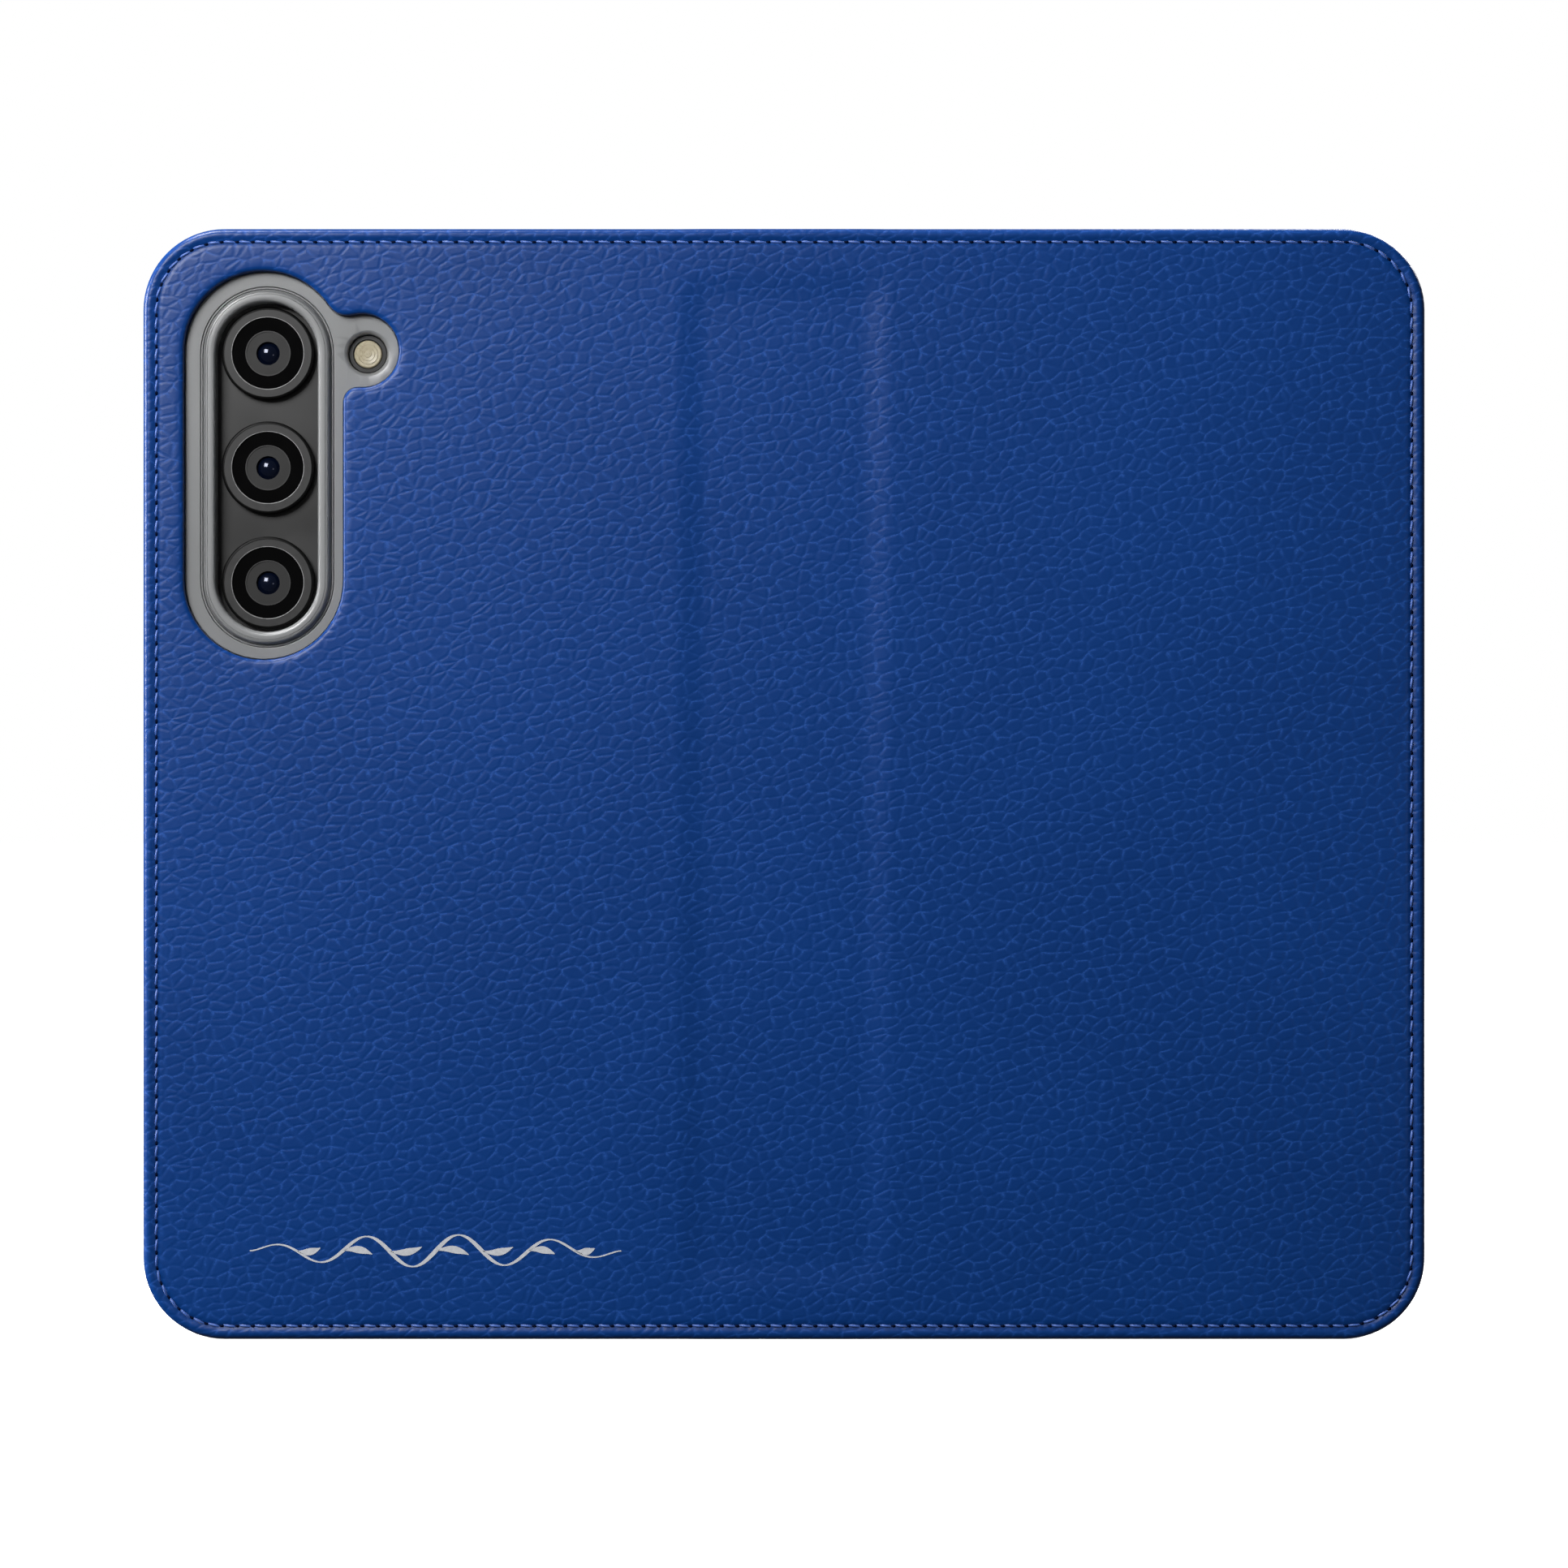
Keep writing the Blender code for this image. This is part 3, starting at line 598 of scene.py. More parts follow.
def covering(name, side, border, face_depth, back_depth, window, look):
    """A shell over one cover. border and window are lists of (inset or grow, thickness share, depth)."""
    bm = bmesh.new()
    flat = {}
    rings = []
    unrolled = border[0][0]
    for k, (inset, share, extra) in enumerate(border):
        if k:
            run = (border[k - 1][1] - share) * COVER_DEPTH + border[k - 1][2] - extra
            unrolled -= math.hypot(border[k - 1][0] - inset, run)
        points = cover_path(side, inset)
        depths = [share * thickness(x) + extra for x, _ in points]
        rings.append(ring_of(bm, flat, points, cover_path(side, unrolled), depths))
    for first, second in zip(rings, rings[1:]):
        join_rings(bm, first, second, closed=False)
    holes = []
    keep_out = None
    if window:
        for grow, share, extra in window:
            points = camera_window(grow)
            depths = [share * COVER_DEPTH + extra] * len(points)
            holes.append(ring_of(bm, flat, points, points, depths))
        for first, second in zip(holes, holes[1:]):
            join_rings(bm, first, second, closed=True)
        keep_out = camera_window(max(window[0][0], window[-1][0]) + 0.5 * MM)
    face_hole = holes[0] if holes else []
    back_hole = holes[-1] if holes else []
    tile(bm, flat, side, rings[0], face_hole, face_depth, border[0][0] + 0.4 * MM, keep_out)
    tile(bm, flat, side, rings[-1], back_hole, back_depth, border[0][0] + 0.4 * MM, keep_out)
    open_edges = [edge for edge in bm.edges if edge.is_boundary]
    bmesh.ops.triangle_fill(bm, use_beauty=True, edges=open_edges, normal=(side, 0, 0))
    return finish_piece(name, bm, [look], flat)


SIDES = ((-1, "back"), (1, "front"))


def cover_both(kind, border, face_depth, back_depth, window, look):
    """The same covering on both covers, each running to the middle of the spine. Only the back cover has the
    camera window.
    """
    for side, label in SIDES:
        opening = window if label == "back" else None
        piece = covering(f"{label}_{kind}", side, border, face_depth, back_depth, opening, look)
        bend_with_spine(piece, side)
        print(piece.name, len(piece.data.polygons), "faces")
        yield piece


# %% [markdown]
# The skin's border, from the panel outwards: a groove where the thread pulls the leather down, a bead
# that rolls over the board's edge, and the turned hem on the inside. The panel itself is not dead flat.
# Hide over board keeps a faint unevenness, a few hundredths of a millimetre, that breaks up the sheen.

# %% Skins
PANEL = 0.05 * MM
BEAD = 0.85 * MM                 # half the width of the rolled bead
ROLL_STEPS = 12
SKIN = 0.75 * MM
HEM_END = 1.45 * MM


def unevenness(x, z):
    room = min(HALF_WIDTH - abs(x), z, HEIGHT - z, abs(abs(x) - SPINE_EDGE) + 4 * MM)
    ripple = math.sin(x / (8.5 * MM) + 0.7) * math.sin(z / (11 * MM) + 0.4)
    ripple += 0.6 * math.sin(x / (5.3 * MM) - z / (7.1 * MM))
    return 0.018 * MM * ripple * ease((room - 3 * MM) / (7 * MM))


def panel_depth(x, z):
    return PANEL + hollow(x, z) + unevenness(x, z)


def skin_border():
    groove = [
        (STITCH_INSET + 0.9 * MM, 0, PANEL),
        (STITCH_INSET + 0.5 * MM, 0, PANEL + 0.02 * MM),
        (STITCH_INSET + 0.25 * MM, 0, PANEL + 0.12 * MM),
        (STITCH_INSET, 0, PANEL + 0.24 * MM),
        (STITCH_INSET - 0.25 * MM, 0, PANEL + 0.14 * MM),
        (STITCH_INSET - 0.5 * MM, 0, PANEL + 0.03 * MM),
        (BEAD + 0.25 * MM, 0, 0.01 * MM),
    ]
    roll = []
    for k in range(ROLL_STEPS + 1):
        angle = math.pi * k / ROLL_STEPS
        roll.append((BEAD * (1 - math.sin(angle)), (1 - math.cos(angle)) / 2, 0.0))
    hem = [(HEM_END - 0.25 * MM, 1, -0.08 * MM), (HEM_END, 1, -0.3 * MM), (HEM_END, 0, PANEL + SKIN)]
    return groove + roll + hem


WINDOW_EDGE = [
    (1.3 * MM, 0, PANEL),
    (0.65 * MM, 0, PANEL + 0.01 * MM),
    (0.34 * MM, 0, PANEL + 0.06 * MM),
    (0.14 * MM, 0, PANEL + 0.19 * MM),
    (0.03 * MM, 0, PANEL + 0.38 * MM),
    (0.0, 0, PANEL + 0.6 * MM),
    (0.0, 1, -0.12 * MM),
    (0.32 * MM, 1, -0.05 * MM),
    (0.38 * MM, 0, PANEL + SKIN),
]


def skin_back_depth(x, z):
    return panel_depth(x, z) + SKIN


back_leather, front_leather = cover_both("leather", skin_border(), panel_depth, skin_back_depth,
                                         WINDOW_EDGE, SKIN_LEATHER)
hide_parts("back_skin", "spine_skin")
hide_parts("front_skin")

# %% [markdown]
# Inside, a microfibre lining is glued over the hem and sewn down with it. It is the same kind of shell,
# turned to face the other way, with a crisp cut edge in place of the bead.

# %% Linings
LINING_FACE = 0.02 * MM
LINING_EDGE = 1.2 * MM


def lining_border():
    return [
        (STITCH_INSET + 0.9 * MM, 1, LINING_FACE),
        (STITCH_INSET + 0.35 * MM, 1, LINING_FACE - 0.03 * MM),
        (STITCH_INSET, 1, LINING_FACE - 0.14 * MM),
        (STITCH_INSET - 0.3 * MM, 1, LINING_FACE - 0.05 * MM),
        (LINING_EDGE + 0.12 * MM, 1, LINING_FACE - 0.02 * MM),
        (LINING_EDGE, 1, LINING_FACE - 0.14 * MM),
        (LINING_EDGE, 1, -0.5 * MM),
    ]


def lining_face_depth(x, z):
    return thickness(x) + LINING_FACE


def lining_back_depth(x, z):
    return thickness(x) - 0.5 * MM


LINING_WINDOW = [(0.45 * MM, 1, LINING_FACE), (0.45 * MM, 1, -0.5 * MM)]

back_cloth, front_cloth = cover_both("cloth", lining_border(), lining_face_depth, lining_back_depth,
                                     LINING_WINDOW, LINING)
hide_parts("back_lining", "spine_lining")
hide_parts("front_lining")

# %% [markdown]
# Stitches repeat along a path, so Geometry Nodes make them. The tree turns a path into a curve, sets
# points at the pitch, and puts one short arched length of thread on each, turned to follow the path.
# The same tree puts a short fat length of a near-black finish between the stitches: painted shade for the
# needle holes.
# The result is realised and made a plain mesh, one for each cover.

# %% Geometry Nodes: a row of stitches
STITCH_PITCH = 2.14 * MM


def stitch_row_tree():
    tree = bpy.data.node_groups.new("stitch row", "GeometryNodeTree")
    entry, leave = group_sockets(
        tree,
        [
            ("Path", "Geometry", None),
            ("Pitch", "Float", STITCH_PITCH),
            ("Stitch Length", "Float", 1.5 * MM),
            ("Thread Width", "Float", 0.36 * MM),
            ("Slant", "Float", 0.0),
            ("Outward", "Vector", (0.0, -1.0, 0.0)),
            ("Finish", "Material", None),
        ],
        [("Stitches", "Geometry")],
    )
    get = entry.outputs
    curve = add(tree, "GeometryNodeMeshToCurve", {"Mesh": get["Path"]})
    points = add(tree, "GeometryNodeResampleCurve", {"Curve": curve.outputs[0], "Length": get["Pitch"]},
                 mode="LENGTH")
    half = math_node(tree, "MULTIPLY", get["Stitch Length"], 0.5)
    sunk = math_node(tree, "MULTIPLY", get["Thread Width"], -0.45)
    proud = math_node(tree, "MULTIPLY", get["Thread Width"], 0.75)
    start = add(tree, "ShaderNodeCombineXYZ", {"X": math_node(tree, "MULTIPLY", half, -1.0), "Z": sunk})
    middle = add(tree, "ShaderNodeCombineXYZ", {"Z": proud})
    end = add(tree, "ShaderNodeCombineXYZ", {"X": half, "Z": sunk})
    arch = add(tree, "GeometryNodeCurveQuadraticBezier",
               {"Resolution": 5, "Start": start.outputs[0], "Middle": middle.outputs[0],
                "End": end.outputs[0]})
    round_section = add(tree, "GeometryNodeCurvePrimitiveCircle",
                        {"Resolution": 6, "Radius": math_node(tree, "MULTIPLY", get["Thread Width"], 0.5)})
    thread = add(tree, "GeometryNodeCurveToMesh",
                 {"Curve": arch.outputs[0], "Profile Curve": round_section.outputs[0], "Fill Caps": True})
    upright = add(tree, "FunctionNodeAlignRotationToVector", {"Vector": get["Outward"]}, axis="Z")
    tangent = add(tree, "GeometryNodeInputTangent")
    along = add(tree, "FunctionNodeAlignRotationToVector",
                {"Rotation": upright.outputs[0], "Vector": tangent.outputs[0]}, axis="X", pivot_axis="Z")
    lean = add(tree, "FunctionNodeAxisAngleToRotation", {"Axis": (0, 0, 1), "Angle": get["Slant"]})
    turned_by = add(tree, "FunctionNodeRotateRotation",
                    {"Rotation": along.outputs[0], "Rotate By": lean.outputs[0]}, rotation_space="LOCAL")
    placed = add(tree, "GeometryNodeInstanceOnPoints",
                 {"Points": points.outputs[0], "Instance": thread.outputs[0],
                  "Rotation": turned_by.outputs[0]})
    real = add(tree, "GeometryNodeRealizeInstances", {"Geometry": placed.outputs[0]})
    smooth = add(tree, "GeometryNodeSetShadeSmooth", {"Geometry": real.outputs[0]})
    painted = add(tree, "GeometryNodeSetMaterial", {"Geometry": smooth.outputs[0], "Material": get["Finish"]})
    tree.links.new(painted.outputs[0], leave.inputs["Stitches"])
    return tree


STITCH_ROW = stitch_row_tree()


def stitch_row(name, path, finish, **values):
    """Run the tree along a path of 3D points and keep the result as a plain mesh."""
    mesh = bpy.data.meshes.new(name)
    mesh.from_pydata(path, [(k, k + 1) for k in range(len(path) - 1)], [])
    guide = to_scene(name + "_path", mesh)
    modifier = guide.modifiers.new("stitches", "NODES")
    modifier.node_group = STITCH_ROW
    identifiers = {item.name: item.identifier for item in STITCH_ROW.interface.items_tree}
    modifier[identifiers["Finish"]] = finish
    for key, value in values.items():
        modifier[identifiers[key.replace("_", " ")]] = value
    graph = bpy.context.evaluated_depsgraph_get()
    result = bpy.data.meshes.new_from_object(guide.evaluated_get(graph))
    result.name = name
    bpy.data.objects.remove(guide)
    piece = to_scene(name, result)
    piece_notes.append((name, len(result.polygons)))
    return piece


# %% Border stitches, outside and inside
def border_stitch_path(side, inset, start_x, depth_at):
    points = cover_path(side, inset, start_x)
    clean = [points[0]]
    for point in points[1:]:
        if point != clean[-1]:
            clean.append(point)
    return [(x, OUTSIDE + depth_at(x), z) for x, z in clean]


def outer_thread_depth(x):
    return PANEL + 0.13 * MM


def inner_thread_depth(x):
    return thickness(x) - 0.06 * MM


for side, label in SIDES:
    for face, depth_at, out in (("outer", outer_thread_depth, -1.0), ("inner", inner_thread_depth, 1.0)):
        path = border_stitch_path(side, STITCH_INSET, STITCH_PITCH / 2, depth_at)
        stitches = stitch_row(f"{label}_{face}_stitches", path, THREAD, Slant=0.12 * out,
                              Outward=(0.0, out, 0.0))
        bend_with_spine(stitches, side)
        # Short near-black lengths between the stitches: painted shade for the needle holes.
        path = border_stitch_path(side, STITCH_INSET, 0.0, depth_at)
        holes = stitch_row(f"{label}_{face}_painted_hole_shades", path, PAINTED_HOLE_SHADE, Stitch_Length=0.42 * MM,
                           Thread_Width=0.34 * MM, Outward=(0.0, out, 0.0))
        bend_with_spine(holes, side)
        print(stitches.name, len(stitches.data.polygons), "faces")

# %% [markdown]
# A foil stamp decorates the foot of the back cover: a running vine, drawn with a broad pen. Its width
# follows the slope of the stroke, as a pen's does, and a leaf grows at each crest. It is a thin ribbon
# of foil laid on the leather, with a little thickness, so it catches the light as foil does.

# %% Foil vine
VINE_START = -73.5 * MM
VINE_END = -22.4 * MM
VINE_Z = 12.25 * MM
VINE_WAVES = 4
VINE_HEIGHT = 2.2 * MM
FOIL_PROUD = 0.03 * MM


def ribbon(bm, points, widths):
    """A flat stroke with its own width at each point, lifted just off the leather."""
    rows = []
    for k, (point, width) in enumerate(zip(points, widths)):
        before = points[max(k - 1, 0)]
        after = points[min(k + 1, len(points) - 1)]
        run = (Vector(after) - Vector(before)).normalized()
        across = Vector((-run.y, run.x)) * width / 2
        row = []
        for shift, lift in ((across, -FOIL_PROUD), (-across, -FOIL_PROUD), (-across, 0.06 * MM),
                            (across, 0.06 * MM)):
            x, z = Vector(point) + shift
            row.append(bm.verts.new((x, OUTSIDE + panel_depth(x, z) + lift, z)))
        rows.append(row)
    for first, second in zip(rows, rows[1:]):
        for k in range(4):
            following = (k + 1) % 4
            bm.faces.new((first[k], first[following], second[following], second[k]))
    bm.faces.new(rows[0])
    bm.faces.new(rows[-1])


def vine_point(share):
    """A point on the stem, whose waves die down towards both ends."""
    swell = math.sin(math.pi * share) ** 0.6
    height = VINE_HEIGHT * swell * math.sin(2 * math.pi * VINE_WAVES * share)
    return Vector((VINE_START + (VINE_END - VINE_START) * share, VINE_Z + height))


def foil_vine():
    bm = bmesh.new()
    steps = 200
    stem = [vine_point(k / steps) for k in range(steps + 1)]
    widths = []
    for k in range(steps + 1):
        share = k / steps
        press = abs(math.cos(2 * math.pi * VINE_WAVES * share))
        widths.append((0.16 + 0.42 * press * math.sin(math.pi * share)) * MM)
    ribbon(bm, stem, widths)
    wave = (VINE_END - VINE_START) / VINE_WAVES
    for k in range(1, 2 * VINE_WAVES):
        up = 1 if k % 2 == 0 else -1
        root = vine_point(k / (2 * VINE_WAVES))
        size = math.sin(math.pi * (k + 0.3) / (2 * VINE_WAVES))
        reach = 0.36 * wave * (0.45 + 0.55 * size)
        leaf = []
        leaf_widths = []
        for j in range(17):
            t = j / 16
            curl = up * reach * (0.30 * t - 0.42 * t * t)
            leaf.append((root.x + reach * t, root.y + curl))
            leaf_widths.append((0.12 + 1.05 * math.sin(math.pi * t ** 1.3) ** 1.2 * (1 - 0.3 * t)) * MM)
        leaf_widths[-1] = 0.06 * MM
        ribbon(bm, leaf, leaf_widths)
    return bm


vine = finish_piece("foil_vine", foil_vine(), [FOIL])
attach(vine, "back_cover")
print("foil vine:", len(vine.data.polygons), "faces")

# %% [markdown]
# Plates with straight walls and rounded edges make up the tray, the phone and the pockets. Each is a
# stack of closed loops at several depths: where two loops have as many points, a wall joins them, and
# where the shape is flat, a filled face does. Extra loops close to an edge round it off.

# %% Build a plate from loops
def loop_at(bm, outline, depth):
    return [bm.verts.new((x, OUTSIDE + depth, z)) for x, z in outline]


def fill(bm, loops, material_index=0):
    """A flat face between closed loops of vertices."""
    edges = []
    for verts in loops:
        for first, second in zip(verts, verts[1:] + verts[:1]):
            edges.append(bm.edges.get((first, second)) or bm.edges.new((first, second)))
    made = bmesh.ops.triangle_fill(bm, use_beauty=True, edges=edges, normal=(0, -1, 0))
    for item in made["geom"]:
        if isinstance(item, bmesh.types.BMFace):
            item.material_index = material_index


def stack(bm, outline_at, profile):
    """Walls through a list of (grow, depth), and the first and last loop."""
    loops = [loop_at(bm, outline_at(grow), depth) for grow, depth in profile]
    for first, second in zip(loops, loops[1:]):
        join_rings(bm, first, second, closed=True)
    return loops


def rounded(edge_grow, edge_depth, radius, toward_grow, toward_depth, steps=4):
    """Points round an outside edge: from the flat face to the wall."""
    points = []
    for k in range(steps + 1):
        angle = math.pi / 2 * k / steps
        points.append((edge_grow + toward_grow * radius * (1 - math.sin(angle)),
                       edge_depth + toward_depth * radius * (1 - math.cos(angle))))
    return points


def rounded_box(low_x, high_x, low_z, high_z, radius, steps=10):
    points = arc(low_x + radius, low_z + radius, radius, 180, 270, steps)
    points += arc(high_x - radius, low_z + radius, radius, 270, 360, steps)
    points += arc(high_x - radius, high_z - radius, radius, 0, 90, steps)
    points += arc(low_x + radius, high_z - radius, radius, 90, 180, steps)
    return points


PHONE_CORNER = 10.0 * MM


def phone_outline(grow):
    return rounded_box(phone_low.x - grow, phone_high.x + grow, phone_low.z - grow, phone_high.z + grow,
                       PHONE_CORNER + grow)


def slot_outline(centre_x, centre_z, radius, reach):
    points = arc(centre_x, centre_z + reach, radius, 0, 180, SLOT_STEPS)
    return points + arc(centre_x, centre_z - reach, radius, 180, 360, SLOT_STEPS)


def pill(centre, length, width, low, high, upright):
    """A bar with round ends. It runs along Z and through X if upright, else along X and through Z."""
    bm = bmesh.new()
    radius = width / 2
    outline = []
    for end in (1, -1):
        for k in range(11):
            angle = math.pi * k / 10 + (0 if end > 0 else math.pi)
            outline.append((end * (length - width) / 2 + radius * math.sin(angle), radius * math.cos(angle)))
    loops = []
    for through in (low, high):
        loop = []
        for along, across in outline:
            if upright:
                loop.append(bm.verts.new((through, centre.y + across, centre.z + along)))
            else:
                loop.append(bm.verts.new((centre.x + along, centre.y + across, through)))
        loops.append(loop)
    join_rings(bm, *loops, closed=True)
    for loop in loops:
        bm.faces.new(loop)
    bmesh.ops.recalc_face_normals(bm, faces=bm.faces)
    return bm


def block(low, high):
    bm = bmesh.new()
    bmesh.ops.create_cube(bm, size=1)
    bmesh.ops.scale(bm, vec=high - low, verts=bm.verts)
    bmesh.ops.translate(bm, vec=(low + high) / 2, verts=bm.verts)
    return bm


def cut(piece, cutters):
    """Cut shapes out of a piece, then weigh its normals so that flat faces stay flat to the eye."""
    for bm in cutters:
        mesh = bpy.data.meshes.new("cutter")
        bm.to_mesh(mesh)
        bm.free()
        cutter = to_scene("cutter", mesh)
        modifier = piece.modifiers.new("cut", "BOOLEAN")
        modifier.operation = "DIFFERENCE"
        modifier.solver = "EXACT"
        modifier.object = cutter
    flatten = piece.modifiers.new("flat faces", "WEIGHTED_NORMAL")
    flatten.keep_sharp = True
    graph = bpy.context.evaluated_depsgraph_get()
    result = bpy.data.meshes.new_from_object(piece.evaluated_get(graph))
    tools = [m.object for m in piece.modifiers if m.type == "BOOLEAN"]
    piece.modifiers.clear()
    for tool in tools:
        bpy.data.objects.remove(tool)
    piece.data = result


# %% [markdown]
# The tray is one moulding. Its pad fills the window in the leather, a rounded rim stands round the lenses
# with a small groove beside it, and a hole is left for the flash. Its walls go up round the phone and
# turn in over the screen as a lip. The free side is open at the keys, and the foot at the charging port.

# %% Tray
WINDOW_BACK = COVER_DEPTH + 0.1 * MM
PHONE_BACK = depth_of(phone_low.y)
PHONE_FRONT = depth_of(phone_high.y)
TRAY_FRONT = depth_of(tray_high.y)
TRAY_OUT = tray_high.x - phone_high.x
TRAY_PLAY = 0.2 * MM
FLOOR_END = PHONE_BACK - 0.2 * MM
LIP = 0.6 * MM
PAD_TOP = 1.75 * MM
PAD_GAP = 0.12 * MM
RIM_X = lens_centres["middle"].x
RIM_REACH = 15.7 * MM
FLASH_HOLE = 3.25 * MM
KEY_OPENING_LOW = 82 * MM
KEY_OPENING_HIGH = 127 * MM
PORT_OPENING_LENGTH = 44 * MM
PORT_OPENING_WIDTH = 5.2 * MM


def rim_outline(radius):
    return slot_outline(RIM_X, lens_centres["middle"].z, radius, RIM_REACH)


def flash_outline(radius):
    return arc(flash_centre.x, flash_centre.z, radius, 0, 360, 2 * SLOT_STEPS)[:-1]


def rim_profile():
    """Two fine grooves, a band with two fine lines on it, and the wall down to the phone."""
    profile = [(9.34 * MM, PAD_TOP)]
    for middle in (9.18 * MM, 8.86 * MM):
        profile.append((middle + 0.08 * MM, PAD_TOP + 0.02 * MM))
        profile.append((middle, PAD_TOP + 0.32 * MM))
        profile.append((middle - 0.08 * MM, PAD_TOP + 0.02 * MM))
    band = [(8.72, 0.0), (8.69, 0.45), (8.6, 0.78), (8.46, 0.93), (8.42, 0.88), (8.38, 0.98), (8.16, 1.05),
            (8.12, 0.99), (8.08, 1.07), (7.7, 1.1), (7.4, 1.07), (7.3, 1.02), (7.06, 0.7), (7.03, -0.2)]
    profile += [(radius * MM, PAD_TOP - rise * MM) for radius, rise in band]
    profile.append((7.03 * MM, FLOOR_END))
    return profile


def tray_shell():
    bm = bmesh.new()
    walls = rounded(TRAY_OUT, WINDOW_BACK, 0.5 * MM, -1, 1)
    walls += reversed(rounded(TRAY_OUT, TRAY_FRONT, 0.5 * MM, -1, -1))
    walls += rounded(-LIP, TRAY_FRONT, 0.3 * MM, 1, -1)
    walls += [(-LIP, PHONE_FRONT + 0.1 * MM), (TRAY_PLAY, PHONE_FRONT + 0.1 * MM), (TRAY_PLAY, FLOOR_END)]
    wall_loops = stack(bm, phone_outline, walls)
    pad = [(-PAD_GAP, WINDOW_BACK)] + list(reversed(rounded(-PAD_GAP, PAD_TOP, 0.12 * MM, -1, 1)))
    pad_loops = stack(bm, camera_window, pad)
    rim_loops = stack(bm, rim_outline, rim_profile())
    cone = [(0.0, 0.0), (-0.09, 0.03), (-0.3, 0.2), (-0.48, 0.5), (-0.55, 0.8)]
    flash = [(FLASH_HOLE + grow * MM, PAD_TOP + drop * MM) for grow, drop in cone]
    flash.append((flash[-1][0], FLOOR_END))
    flash_loops = stack(bm, flash_outline, flash)
    fill(bm, [wall_loops[0], pad_loops[0]])
    fill(bm, [pad_loops[-1], rim_loops[0], flash_loops[0]])
    fill(bm, [wall_loops[-1], rim_loops[-1], flash_loops[-1]])
    return bm


tray = finish_piece("clear_tray", tray_shell(), [CLEAR])
phone_middle = (phone_low + phone_high) / 2
key_opening = block(
    Vector((phone_low.x - 3 * MM, OUTSIDE + PHONE_BACK + 1.2 * MM, KEY_OPENING_LOW)),
    Vector((phone_low.x + 1.8 * MM, OUTSIDE + TRAY_FRONT + 0.7 * MM, KEY_OPENING_HIGH)),
)
port_centre = Vector((phone_middle.x, phone_middle.y, phone_low.z))
port_opening = pill(port_centre, PORT_OPENING_LENGTH, PORT_OPENING_WIDTH, phone_low.z - 3 * MM,
                    phone_low.z + 1.8 * MM, upright=False)
cut(tray, [key_opening, port_opening])
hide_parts("phone_tray")
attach(tray, "back_cover")
print("tray:", len(tray.data.polygons), "faces")

# %% [markdown]
# The phone is slim: a rounded metal band, glass on both faces, two keys that really press, and a
# charging port. Its glass screen has a black border, a dark display and a small camera at the top.

# %% Phone
def phone_band():
    bm = bmesh.new()
    section = [(-1.75, 0.0), (-0.9, 0.0), (-0.45, 0.12), (-0.15, 0.45), (0.0, 1.0)]
    profile = [(grow * MM, PHONE_BACK + rise * MM) for grow, rise in section]
    profile += [(grow * MM, PHONE_FRONT - rise * MM) for grow, rise in reversed(section)]
    loops = stack(bm, phone_outline, profile)
    join_rings(bm, loops[-1], loops[0], closed=True)
    return bm


KEY_GAP = 0.25 * MM
PORT_LENGTH = 9 * MM
PORT_WIDTH = 2.8 * MM
SLOT_DEEP = 3.6 * MM
key_boxes = {name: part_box(name) for name in ("volume_key", "power_key")}
band = finish_piece("phone_band", phone_band(), [FRAME_METAL])
band_cuts = []
for low, high in key_boxes.values():
    middle = (low + high) / 2
    length = high.z - low.z + 2 * KEY_GAP
    width = high.y - low.y + 2 * KEY_GAP
    band_cuts.append(pill(middle, length, width, phone_low.x - MM, phone_low.x + SLOT_DEEP, upright=True))
band_cuts.append(pill(port_centre, PORT_LENGTH, PORT_WIDTH, phone_low.z - MM, phone_low.z + SLOT_DEEP,
                      upright=False))
cut(band, band_cuts)
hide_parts("phone_frame")
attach(band, "back_cover")

for name, (low, high) in key_boxes.items():
    bar = pill((low + high) / 2, high.z - low.z, high.y - low.y, low.x, high.x, upright=True)
    outer_edges = [edge for edge in bar.edges if all(abs(v.co.x - low.x) < 0.01 * MM for v in edge.verts)]
    bmesh.ops.bevel(bar, geom=outer_edges, offset=0.3 * MM, segments=3, affect="EDGES")
    key = finish_piece(name + "_cap", bar, [FRAME_METAL])
    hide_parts(name)
    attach(key, name)


def screen_plate():
    bm = bmesh.new()
    back = PHONE_FRONT - 0.7 * MM
    edge = -1.9 * MM
    profile = [(edge, back)] + list(reversed(rounded(edge, PHONE_FRONT, 0.2 * MM, -1, -1)))
    profile.append((edge - 1.3 * MM, PHONE_FRONT))
    loops = stack(bm, phone_outline, profile)
    fill(bm, [loops[0]])
    fill(bm, [loops[-1]], material_index=1)
    return bm


screen = finish_piece("screen_plate", screen_plate(), [SCREEN_BORDER, SCREEN_GLASS])
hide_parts("phone_screen")
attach(screen, "back_cover")


# %% [markdown]
# Lenses are turned parts. A profile of radius and depth is spun round an axis along Y, and each step of
# it has its own finish. The collar is a dark chamfered ring with a flat face and a cut edge inside, painted
# light: partly bare cut metal, partly a painted highlight.
# The glass in it is black and flat, with a grey stop sunk in a second ring. In the middle stands a coated
# pupil with a slight dome, which is what gives a lens its small blue glint.

# %% Lenses and flash
TURN_STEPS = 96


